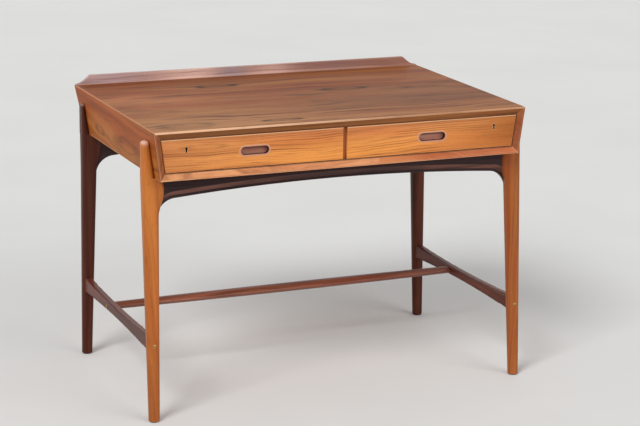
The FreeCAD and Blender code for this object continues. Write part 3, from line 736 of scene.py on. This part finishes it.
@dataclass(frozen=True)
class PullWood(Wood):
    """A recessed pull: pale rounded rim, walls dark with painted shade, and a floor with painted shade
    towards its head.
    """

    rim: Triple = (196, 140, 114)
    rim_rear: Fade = (-0.3155, -0.3143)
    # painted shade on the recess walls
    wall: Triple = (66, 38, 36)
    floor_fade: Fade = (0.35, 0.75)
    head: float = 0.66
    head_reach: float = 0.006
    head_share: float = 0.8

    def _local(self, mix: Mixture, colour: bpy.types.NodeSocket) -> bpy.types.NodeSocket:
        """Colours the rim, and paints shade on the walls and on the head of the floor.

        Args:
            mix: The mixture to add nodes to.
            colour: The wood's colour so far.

        Returns:
            The colour with its rim and its painted shade.
        """
        _, back, up = mix.axes(Grain.LEVEL)
        forward = -mix.normal()[1]
        outer = back.fall(*self.rim_rear)
        # Painted shade on the walls, and on the floor's upper part under the rim.
        sunk = (1.0 - outer) * forward.fall(*self.floor_fade)
        shaded = up.rise(self.head, self.head + self.head_reach) * (1.0 - outer)
        colour = mix.blend(sunk.at_least(shaded * self.head_share), colour, paint(*self.wall))
        return mix.blend(outer, colour, paint(*self.rim))


@dataclass(frozen=True)
class Metal:
    """A metal fitting's finish."""

    name: str
    bright: Triple
    dull: Triple
    roughness: float
    cloud: Pattern = Pattern(160.0, 160.0, 160.0, 3.0, 0.6)
    cloud_fade: Fade = (0.4, 0.7)
    cloud_rough: float = 0.16
    scratch: Pattern = Pattern(1800.0, 400.0, 1800.0, 2.0, 0.6)
    scratch_rough: float = 0.08
    relief: float = 0.00002

    def material(self) -> bpy.types.Material:
        """Mixes the metal, brighter where it has been polished and dull in cloudy patches.

        Returns:
            The finished metal.
        """
        mix = Mixture(self.name)
        place = mix.axes(Grain.LEVEL)
        cloud = mix.noise(self.cloud, *place)
        scratch = mix.noise(self.scratch, *place)
        colour = mix.blend(cloud.rise(*self.cloud_fade), paint(*self.bright), paint(*self.dull))
        roughness = self.roughness + cloud * self.cloud_rough + scratch * self.scratch_rough
        return mix.finish(colour, roughness, scratch, self.relief, metal=1.0)


@dataclass(frozen=True)
class Plastic:
    """The hard plastic of the foot glides."""

    name: str
    colour: Triple
    worn_and_lit: Triple
    cloud: Pattern = Pattern(300.0, 300.0, 300.0, 3.0, 0.6)
    cloud_fade: Fade = (0.45, 0.75)
    cloud_rough: float = 0.2
    roughness: float = 0.45
    relief: float = 0.00005

    def material(self) -> bpy.types.Material:
        """Mixes the plastic, scuffed in cloudy patches.

        Returns:
            The finished plastic.
        """
        mix = Mixture(self.name)
        cloud = mix.noise(self.cloud, *mix.axes(Grain.LEVEL))
        colour = mix.blend(cloud.rise(*self.cloud_fade), paint(*self.colour), paint(*self.worn_and_lit))
        return mix.finish(colour, self.roughness + cloud * self.cloud_rough, cloud, self.relief)


@dataclass(frozen=True)
class Ply:
    """A drawer's thin plywood bottom, its core showing on the edges."""

    name: str
    face: Triple
    core: Triple
    low: float
    high: float
    veneer: float = 0.0011
    glue_line: float = 0.0002
    streak: Pattern = Pattern(3.0, 160.0, 0.0, 4.0, 0.6)
    streak_fade: Fade = (0.3, 0.7)
    streak_tone: float = 0.86
    flake: Pattern = Pattern(30.0, 900.0, 0.0)
    flake_fade: Fade = (0.55, 0.75)
    flake_share: float = 0.5
    flake_veil: Triple = (200, 170, 140)
    roughness: float = 0.55
    streak_rough: float = 0.1
    relief: float = 0.00006

    def material(self) -> bpy.types.Material:
        """Mixes the plywood: veneer on both faces and a darker core between them.

        Returns:
            The finished plywood.
        """
        mix = Mixture(self.name)
        along, across, deep = mix.axes(Grain.FRONT_TO_BACK)
        middle = (self.low + self.high) / 2
        half = (self.high - self.low) / 2 - self.veneer
        core = abs(deep - middle).fall(half - self.glue_line, half + self.glue_line)
        streak = mix.noise(self.streak, along, across, deep)
        flake = mix.noise(self.flake, along, across, deep)
        darker = dimmed(self.face, self.streak_tone)
        colour = mix.blend(streak.rise(*self.streak_fade), paint(*self.face), darker)
        flaked = flake.rise(*self.flake_fade) * self.flake_share
        colour = mix.tint(flaked, colour, paint(*self.flake_veil))
        colour = mix.blend(core, colour, paint(*self.core))
        return mix.finish(colour, self.roughness + streak * self.streak_rough, flake, self.relief)


@dataclass
class Dressing:
    """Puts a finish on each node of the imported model."""

    finishes: dict[str, str] = field(default_factory=dict)

    def dress(self, finish: Union[Wood, Metal, Plastic, Ply], *nodes: str) -> None:
        """Gives the named nodes one finish.

        Args:
            finish: The finish to put on.
            nodes: The nodes that wear it.
        """
        material = finish.material()
        for name in nodes:
            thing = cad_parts[name]
            thing.data.materials.clear()
            thing.data.materials.append(material)
            self.finishes[name] = finish.name
            log.info("%s wears %s", name, finish.name)


@dataclass
class Case:
    """The mitred case with its lip, divider and back."""

    top: Wood = TopWood(
        "case_top", Grain.LEVEL, (142, 86, 50), (170, 111, 66), (90, 53, 38),
        pith_across=-0.06, pith_deep=0.30, ring=0.010, band=0.018, streaks=0.85, lines=0.8,
        gloss=0.03, wear_and_highlight=0.9, edge_reach=0.003, worn_and_lit=(226, 172, 134),
        eyes=(
            Eye(-0.150, 0.185, 0.050, 0.019, 0.014, 0.85),
            Eye(0.155, 0.050, 0.054, 0.017, 0.014, 0.9),
            Eye(-0.150, -0.275, 0.046, 0.011, 0.010, 0.9),
            Eye(-0.395, -0.270, 0.060, 0.030, 0.016, 0.35),
            Eye(0.345, 0.005, 0.030, 0.008, 0.006, 0.5),
        ),
        patches=(
            Patch(-0.36, -0.27, 0.34, 0.12, (192, 140, 92), 0.7),
            Patch(-0.40, 0.06, 0.16, 0.09, (186, 116, 74), 0.6),
            Patch(0.28, -0.10, 0.26, 0.10, (126, 84, 58), 0.7),
            Patch(0.0, 0.33, 0.70, 0.13, (134, 74, 42), 0.75),
        ),
    )
    side: Wood = CaseWood(
        "case_side", Grain.FRONT_TO_BACK_ON_EDGE, (164, 94, 43), (190, 118, 56), (104, 56, 36),
        pith_across=0.40, pith_deep=0.3, ring=0.013, band=0.022, streaks=0.55,
        gloss=0.05, wear_and_highlight=0.8, edge_reach=0.003,
        eyes=(Eye(-0.09, 0.630, 0.10, 0.022, 0.03, 0.35), Eye(0.14, 0.635, 0.03, 0.012, 0.01, 0.4)),
        # painted shade on the front bevel, which faces outwards
        patches=(Patch(-0.326, 0.66, 0.012, 1.0, (140, 84, 62), 0.75),),
    )
    bottom: Wood = CaseWood(
        "case_bottom", Grain.LEVEL, (196, 126, 82), (230, 166, 118), (134, 80, 54),
        pith_deep=0.35, ring=0.012, band=0.008, streaks=0.75, gloss=0.06,
        wear_and_highlight=0.9, worn_and_lit=(252, 200, 158),
    )
    divider: Wood = Wood(
        "case_divider", Grain.UPRIGHT, (176, 106, 64), (198, 124, 76), (104, 58, 40),
        pith_deep=0.35, ring=0.012, streaks=0.4, wear_and_highlight=0.3,
    )
    back: Wood = Wood(
        "case_back", Grain.LEVEL_ON_EDGE, (140, 86, 54), (162, 106, 68), (92, 56, 40),
        pith_across=0.2, pith_deep=0.0, ring=0.016, streaks=0.45,
    )
    # The lip's pale pinkish and lilac patches and part of its pinkish tone are painted sheen, reflections
    # in its face.
    lip: Wood = Wood(
        "back_lip_wood", Grain.LEVEL, (150, 106, 90), (172, 127, 110), (110, 74, 68),
        pith_across=0.33, pith_deep=0.60, ring=0.012, band=0.02, streaks=0.5, roughness=0.34,
        wear_and_highlight=0.8, worn_and_lit=(222, 186, 170),
        patches=(
            Patch(-0.40, 0.32, 0.13, 0.10, (192, 164, 164), 0.80),
            Patch(-0.17, 0.32, 0.11, 0.10, (224, 186, 172), 0.85),
            Patch(-0.055, 0.32, 0.045, 0.10, (158, 138, 142), 0.85),
            Patch(0.06, 0.32, 0.07, 0.10, (210, 170, 158), 0.80),
            Patch(0.23, 0.32, 0.10, 0.10, (146, 114, 110), 0.50),
        ),
    )

    def build(self, dressing: Dressing) -> None:
        """Dresses the case.

        Args:
            dressing: What puts the finishes on.
        """
        dressing.dress(self.top, "top_panel")
        dressing.dress(self.side, "left_side_panel", "right_side_panel")
        dressing.dress(self.bottom, "bottom_panel")
        dressing.dress(self.divider, "center_divider")
        dressing.dress(self.back, "back_panel")
        dressing.dress(self.lip, "back_lip")


@dataclass
class Drawers:
    """The two drawers with their pulls and locks, and what they run on."""

    key_drop: float = 0.023
    pull_rise: float = 0.001
    box: Wood = Wood(
        "drawer_box_wood", Grain.FRONT_TO_BACK_ON_EDGE, (204, 172, 128), (218, 188, 146), (168, 130, 90),
        pith_across=0.4, streaks=0.3, fine=0.3, warmth=0.2, red=(226, 180, 140),
        roughness=0.5, pores=0.3,
    )
    box_back: Wood = replace(box, name="drawer_back_wood", grain=Grain.LEVEL_ON_EDGE)
    runner: Wood = Wood(
        "runner_wood_waxed", Grain.FRONT_TO_BACK, (178, 132, 90), (196, 152, 108), (132, 92, 62),
        pith_across=0.3, ring=0.007, streaks=0.35, fine=0.3, warmth=0.3, roughness=0.45,
    )
    brass: Metal = Metal("brass_fittings", (176, 142, 82), (112, 84, 46), 0.34)
    steel: Metal = Metal("steel_screws", (196, 196, 198), (140, 140, 144), 0.34)

    def build(self, dressing: Dressing) -> None:
        """Dresses the drawers.

        Args:
            dressing: What puts the finishes on.
        """
        dressing.dress(self._front(), *self._both("drawer_front"))
        dressing.dress(self._pull(), *self._both("drawer_pull"))
        dressing.dress(self.box, *self._both("drawer_outer_side", "drawer_inner_side"))
        dressing.dress(self.box_back, *self._both("drawer_back"))
        dressing.dress(self._ply(), *self._both("drawer_bottom"))
        runners = self._both("drawer_guide", "outer_runner", "inner_runner")
        dressing.dress(self.runner, "drawer_stops", *runners)
        dressing.dress(self.brass, *self._both("lock_case", "lock_screws", "lock_bolt"))
        dressing.dress(self.steel, "leg_case_screws", "rail_case_screws")

    @staticmethod
    def _both(*pieces: str) -> list[str]:
        """The nodes of the named pieces on the left and on the right."""
        return [f"{side}_{piece}" for side in SIDES for piece in pieces]

    def _front(self) -> FrontWood:
        """The wood of the fronts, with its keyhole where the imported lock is.

        Returns:
            The finish of both fronts.
        """
        lock_low, lock_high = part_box("right_lock_case")
        front_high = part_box("right_drawer_front")[1]
        return FrontWood(
            "drawer_front_wood", Grain.LEVEL_ON_EDGE, (206, 132, 76), (228, 152, 86), (136, 78, 46),
            pith_across=0.53, ring=0.0046, wander=0.012, band=0.012, streaks=0.6, lines=0.85,
            fine=0.5, warmth=0.35, red=(226, 140, 100), gloss=0.07,
            wear_and_highlight=1.0, edge_reach=0.0018, worn_and_lit=(250, 204, 160),
            eyes=(Eye(-0.367, 0.676, 0.05, 0.006, 0.004, 0.3),),
            patches=(
                Patch(0.0, 0.636, 0.30, 0.030, (236, 154, 74), 0.75),
                Patch(0.0, 0.704, 0.60, 0.022, (190, 124, 84), 0.6),
                Patch(0.50, 0.66, 0.16, 0.07, (156, 88, 40), 0.85),
                Patch(-0.52, 0.66, 0.16, 0.07, (192, 120, 72), 0.6),
            ),
            key_across=(lock_low.x + lock_high.x) / 2, key_height=front_high.z - self.key_drop,
            head=self.key_drop,
        )

    def _pull(self) -> PullWood:
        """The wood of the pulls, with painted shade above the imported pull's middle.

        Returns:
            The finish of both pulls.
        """
        pull_low, pull_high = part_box("left_drawer_pull")
        return PullWood(
            "drawer_pull_wood", Grain.LEVEL_ON_EDGE, (186, 130, 110), (204, 150, 130), (120, 74, 64),
            pith_across=0.6, ring=0.006, band=0.008, streaks=0.4, gloss=0.10, wear_and_highlight=0.3,
            head=(pull_low.z + pull_high.z) / 2 + self.pull_rise,
        )

    def _ply(self) -> Ply:
        """The plywood of the drawer bottoms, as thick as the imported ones."""
        low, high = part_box("left_drawer_bottom")
        return Ply("drawer_bottom_ply", (216, 184, 140), (150, 112, 74), low.z, high.z)


@dataclass
class Stand:
    """The legs, rails and stretchers that carry the case."""

    left_leg: Wood = Wood(
        "front_left_leg_wood", Grain.UPRIGHT, (174, 98, 43), (194, 116, 52), (132, 72, 36),
        pith_across=0.2, pith_deep=0.1, ring=0.010, band=0.016, streaks=0.4,
        fine=0.35, warmth=0.4, roughness=0.33, gloss=0.10, coat=0.12, worn_and_lit=(226, 160, 112),
        patches=(
            # painted highlight on the finger's tip
            Patch(0.692, -0.49, 0.008, 0.05, (248, 208, 184), 0.9),
            Patch(0.0, -0.50, 0.22, 0.50, (152, 82, 38), 0.6),
        ),
    )
    # A darker copy of the left leg's wood: painted shade on the right front leg, with a dimmer painted
    # highlight on its tip.
    right_leg: Wood = replace(
        left_leg, name="front_right_leg_wood", pith_across=0.1, pith_deep=0.2,
        body=(152, 86, 41), light=(170, 102, 50), dark=(112, 60, 33), worn_and_lit=(206, 142, 96),
        patches=(Patch(0.692, 0.49, 0.008, 0.05, (238, 194, 168), 0.9),),
    )
    rear_leg: Wood = Wood(
        "rear_leg_wood", Grain.UPRIGHT, (74, 38, 27), (92, 50, 34), (48, 26, 25),
        pith_across=0.2, pith_deep=0.1, ring=0.009, band=0.014, streaks=0.5, lines=0.3,
        warmth=0.4, roughness=0.33, coat=0.10, wear_and_highlight=0.25, worn_and_lit=(130, 84, 62),
        # painted highlight across the leg's tip
        patches=(Patch(0.682, 0.0, 0.005, 2.0, (190, 150, 140), 0.75),),
    )
    # The rail's almost black face is partly dark wood, partly painted shadow of the case above.
    rail: Wood = RailWood(
        "rail_wood_dark", Grain.LEVEL_ON_EDGE, (52, 40, 42), (64, 48, 48), (36, 28, 32),
        pith_across=0.3, ring=0.010, streaks=0.5, warmth=0.3, roughness=0.34,
        wear_and_highlight=0.3, worn_and_lit=(150, 108, 92),
    )
    side_stretcher: Wood = Wood(
        "side_stretcher_wood", Grain.FRONT_TO_BACK, (86, 46, 36), (114, 62, 46), (54, 30, 29),
        pith_across=0.2, pith_deep=0.1, band=0.012, streaks=0.5, warmth=0.4,
        roughness=0.32, gloss=0.09, coat=0.10, wear_and_highlight=0.8, worn_and_lit=(170, 120, 98),
    )
    # Its wide pale band along the rounded edges is mostly painted highlight.
    long_stretcher: Wood = Wood(
        "long_stretcher_wood", Grain.LEVEL, (112, 64, 48), (150, 92, 70), (66, 40, 36),
        pith_across=0.2, pith_deep=0.1, band=0.012, streaks=0.5, warmth=0.4,
        roughness=0.30, gloss=0.16, coat=0.12, wear_and_highlight=1.0, edge_reach=0.0040, worn_and_lit=(204, 148, 120),
    )
    glide: Plastic = Plastic("glide_plastic_dark", (42, 38, 36), (70, 64, 60))

    def build(self, dressing: Dressing) -> None:
        """Dresses the stand.

        Args:
            dressing: What puts the finishes on.
        """
        dressing.dress(self.left_leg, "front_left_leg")
        dressing.dress(self.right_leg, "front_right_leg")
        dressing.dress(self.rear_leg, "rear_left_leg", "rear_right_leg")
        dressing.dress(self.rail, "front_rail", "rear_rail")
        dressing.dress(self.side_stretcher, "left_side_stretcher", "right_side_stretcher")
        dressing.dress(self.long_stretcher, "long_stretcher")
        dressing.dress(self.glide, "foot_glides")


def pick_only(*things: bpy.types.Object) -> None:
    """Selects the given objects alone and makes the first of them active.

    Args:
        things: The objects to select.
    """
    bpy.ops.object.select_all(action="DESELECT")
    for thing in things:
        thing.select_set(True)
    bpy.context.view_layer.objects.active = things[0]


@dataclass
class SlottedScrews:
    """The brass screws and bolts of the stretchers, with domed and slotted heads."""

    head_radius: float = 0.0046
    shank_radius: float = 0.0022
    dome: float = 0.0016
    cone: float = 0.0030
    facets: int = 40
    dome_shares: tuple[float, ...] = (0.35, 0.65, 0.85, 0.97)
    slot_width: float = 0.0011
    slot_depth: float = 0.0010
    slot_turn: float = 37.0
    blade_share: float = 3.0
    smooth_angle: float = 40.0
    weld: float = 0.00001
    brass: Metal = Metal("brass_screw_heads", (176, 142, 82), (112, 84, 46), 0.34)

    def build(self, dressing: Dressing) -> None:
        """Models one screw for each length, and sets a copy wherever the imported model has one.

        Args:
            dressing: What keeps the list of dressed nodes.
        """
        material = self.brass.material()
        for node in ("stretcher_screws", "long_stretcher_bolts"):
            places = self._places(node)
            low, high = places[0]
            master = self._master(max(high - low))
            pieces = [self._set(master, place, number) for number, place in enumerate(places)]
            bpy.data.objects.remove(master)
            pick_only(*pieces)
            bpy.ops.object.join()
            group = bpy.context.object
            group.name = f"slotted_{node}"
            group.data.materials.clear()
            group.data.materials.append(material)
            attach(group, "desk_frame")
            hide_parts(node)
            dressing.finishes[node] = self.brass.name
            log.info("%s: %d pieces", group.name, len(pieces))

    def _places(self, node: str) -> list[tuple[Vector, Vector]]:
        """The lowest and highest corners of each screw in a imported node.

        Args:
            node: The node that holds them all.

        Returns:
            One pair of corners for each screw, from left to right and front to back.
        """
        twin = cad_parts[node].copy()
        twin.data = twin.data.copy()
        bpy.context.scene.collection.objects.link(twin)
        twin.parent = None
        pick_only(twin)
        bpy.ops.object.mode_set(mode="EDIT")
        bpy.ops.mesh.select_all(action="SELECT")
        bpy.ops.mesh.remove_doubles(threshold=self.weld)
        bpy.ops.mesh.separate(type="LOOSE")
        bpy.ops.object.mode_set(mode="OBJECT")
        places = []
        for piece in list(bpy.context.selected_objects):
            columns = list(zip(*(vertex.co for vertex in piece.data.vertices)))
            low, high = (Vector(pick(column) for column in columns) for pick in (min, max))
            places.append((low, high))
            bpy.data.objects.remove(piece)
        return sorted(places, key=lambda corners: (round(corners[0].x, 2), corners[0].y))

    def _master(self, length: float) -> bpy.types.Object:
        """Models one screw that stands head up, with the top of its head at the origin.

        Args:
            length: From the top of the head to the end of the shank.

        Returns:
            The screw, with its slot cut.
        """
        bpy.ops.object.select_all(action="DESELECT")
        bpy.ops.mesh.primitive_circle_add(
            vertices=self.facets, radius=self.shank_radius, fill_type="NGON", location=(0, 0, -length)
        )
        screw = bpy.context.object
        bpy.ops.object.mode_set(mode="EDIT")
        bpy.ops.mesh.select_all(action="SELECT")
        self._raise(length - self.dome - self.cone, 1.0)
        self._raise(self.cone, self.head_radius / self.shank_radius)
        height, radius = 0.0, 1.0
        for share in self.dome_shares:
            next_radius = math.sqrt(1.0 - share * share)
            self._raise((share - height) * self.dome, next_radius / radius)
            height, radius = share, next_radius
        bpy.ops.mesh.select_all(action="SELECT")
        bpy.ops.mesh.normals_make_consistent(inside=False)
        bpy.ops.object.mode_set(mode="OBJECT")
        bpy.ops.object.transform_apply(location=True, rotation=True, scale=True)
        self._slot(screw)
        bpy.ops.object.shade_smooth_by_angle(angle=math.radians(self.smooth_angle))
        return screw

    @staticmethod
    def _raise(height: float, growth: float) -> None:
        """Extrudes the selected face upwards and widens it by the growth."""
        bpy.ops.mesh.extrude_region_move(TRANSFORM_OT_translate={"value": (0, 0, height)})
        bpy.ops.transform.resize(value=(growth, growth, 1.0))

    def _slot(self, screw: bpy.types.Object) -> None:
        """Saws the slot across the head.

        Args:
            screw: The screw to saw.
        """
        blade_size = (self.head_radius * self.blade_share, self.slot_width, self.slot_depth * 2)
        bpy.ops.mesh.primitive_cube_add(size=1.0, location=(0, 0, 0), scale=blade_size)
        blade = bpy.context.object
        bpy.ops.object.transform_apply(location=True, rotation=True, scale=True)
        cut = screw.modifiers.new("slot", "BOOLEAN")
        cut.operation = "DIFFERENCE"
        cut.object = blade
        pick_only(screw)
        bpy.ops.object.modifier_apply(modifier=cut.name)
        bpy.data.objects.remove(blade)

    def _set(
        self, master: bpy.types.Object, corners: tuple[Vector, Vector], number: int
    ) -> bpy.types.Object:
        """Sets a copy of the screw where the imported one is, its head outwards.

        Args:
            master: The screw to copy.
            corners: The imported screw's lowest and highest corners.
            number: Its place in the row, which turns its slot.

        Returns:
            The copy, with its place in its mesh.
        """
        low, high = corners
        size = high - low
        axis = max(range(3), key=lambda n: size[n])
        outwards = Vector((0, 0, 0))
        outwards[axis] = math.copysign(1.0, low[axis] + high[axis])
        head = (low + high) / 2 + outwards * (size[axis] / 2)
        turn = Matrix.Rotation(math.radians(self.slot_turn * (number + 1)), 4, "Z")
        copy = master.copy()
        copy.data = master.data.copy()
        bpy.context.scene.collection.objects.link(copy)
        stand = outwards.to_track_quat("Z", "Y").to_matrix().to_4x4()
        copy.data.transform(Matrix.Translation(head) @ stand @ turn)
        return copy


def bearing(turn: float, height: float) -> Vector:
    """The way from the desk to a place round it.

    Args:
        turn: Angle from the desk's front to the right, in degrees.
        height: Angle above the floor, in degrees.

    Returns:
        A vector of length 1.
    """
    across, up = math.radians(turn), math.radians(height)
    return Vector((math.sin(across) * math.cos(up), -math.cos(across) * math.cos(up), math.sin(up)))


@dataclass(frozen=True)
class Lamp:
    """A soft lamp that lights all the floor alike."""

    name: str
    turn: float
    height: float
    strength: float
    spread: float

    def hang(self) -> None:
        """Hangs the lamp so that it shines on the desk from its bearing."""
        bpy.ops.object.light_add(type="SUN", location=(0, 0, 3))
        lamp = bpy.context.object
        lamp.name = self.name
        lamp.data.energy = self.strength
        lamp.data.angle = math.radians(self.spread)
        lamp.rotation_euler = bearing(self.turn, self.height).to_track_quat("Z", "Y").to_euler()


@dataclass
class Studio:
    """A plain pale floor, soft lamps and the camera that took the photograph."""

    floor_size: float = 60.0
    floor_colour: Triple = (228, 228, 226)
    floor_cloud: Pattern = Pattern(1.5, 1.5, 1.0, 3.0)
    floor_fade: Fade = (0.3, 0.7)
    floor_tone: float = 0.985
    floor_roughness: float = 0.75
    air: float = 0.42
    backdrop: float = 0.86
    lamps: tuple[Lamp, ...] = (
        Lamp("key_light", -52.0, 42.0, 1.75, 24.0),
        Lamp("fill_light", 28.0, 26.0, 0.95, 40.0),
    )
    sensor: float = 36.0
    lens: float = 114.2
    shift: tuple[float, float] = (-0.1014, 0.0497)
    sight: float = 200.0
    place: Triple = (-1.9818, -4.7699, 1.7178)
    turn: float = -25.19
    height: float = 15.10
    roll: float = 1.24

    def build(self) -> None:
        """Lays the floor, hangs the lamps and sets the camera up."""
        self._floor()
        self._world()
        for lamp in self.lamps:
            lamp.hang()
        self._camera()

    def _floor(self) -> None:
        """Lays one plain pale sheet as the floor."""
        bpy.ops.mesh.primitive_plane_add(size=self.floor_size, location=(0, 0, 0))
        floor = bpy.context.object
        floor.name = "studio_floor"
        mix = Mixture("studio_floor_paint")
        cloud = mix.noise(self.floor_cloud, *mix.axes(Grain.LEVEL)).rise(*self.floor_fade)
        colour = mix.blend(cloud, paint(*self.floor_colour), dimmed(self.floor_colour, self.floor_tone))
        floor.data.materials.append(mix.finish(colour, self.floor_roughness))

    def _world(self) -> None:
        """Fills the air with soft light, and shows the camera and every gloss a pale backdrop."""
        world = bpy.data.worlds.new("studio_air")
        bpy.context.scene.world = world
        world.use_nodes = True
        sky = Nodes(world.node_tree)
        ray = sky.node("ShaderNodeLightPath").outputs
        seen = Number(sky, ray["Is Camera Ray"]).at_least(ray["Is Glossy Ray"])
        seen = seen.at_least(ray["Is Transmission Ray"])
        white = {"Color": (1.0, 1.0, 1.0, 1.0), "Strength": self.air}
        pale = {"Color": (self.backdrop, self.backdrop, self.backdrop, 1.0), "Strength": 1.0}
        lights = [sky.node("ShaderNodeBackground", inputs=tone).outputs[0] for tone in (white, pale)]
        either = sky.node("ShaderNodeMixShader", inputs={0: seen, 1: lights[0], 2: lights[1]})
        sky.node("ShaderNodeOutputWorld", inputs={"Surface": either.outputs[0]})

    def _camera(self) -> None:
        """Stands the camera where the photograph was taken from."""
        back = bearing(self.turn, self.height)
        tilt = math.radians(self.roll)
        level = (-back).cross(Vector((0, 0, 1))).normalized()
        upright = level.cross(-back)
        right = level * math.cos(tilt) + upright * math.sin(tilt)
        above = upright * math.cos(tilt) - level * math.sin(tilt)
        data = bpy.data.cameras.new("photo_camera")
        data.sensor_width = self.sensor
        data.lens = self.lens
        data.shift_x, data.shift_y = self.shift
        data.clip_end = self.sight
        camera = bpy.data.objects.new("photo_camera", data)
        bpy.context.scene.collection.objects.link(camera)
        turn = Matrix((right, above, back)).transposed().to_4x4()
        camera.matrix_world = Matrix.Translation(Vector(self.place)) @ turn
        bpy.context.scene.camera = camera


def main() -> None:
    """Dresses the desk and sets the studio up."""
    logging.basicConfig(level=logging.INFO, format="%(message)s")
    bpy.ops.object.select_all(action="DESELECT")
    bpy.context.scene.view_settings.view_transform = "Standard"
    dressing = Dressing()
    for part in (Case(), Drawers(), Stand(), SlottedScrews()):
        part.build(dressing)
    bare = sorted(set(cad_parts) - set(dressing.finishes))
    if bare:
        raise RuntimeError(f"these nodes have no finish: {bare}")
    Studio().build()


if __name__ == "__main__":
    main()
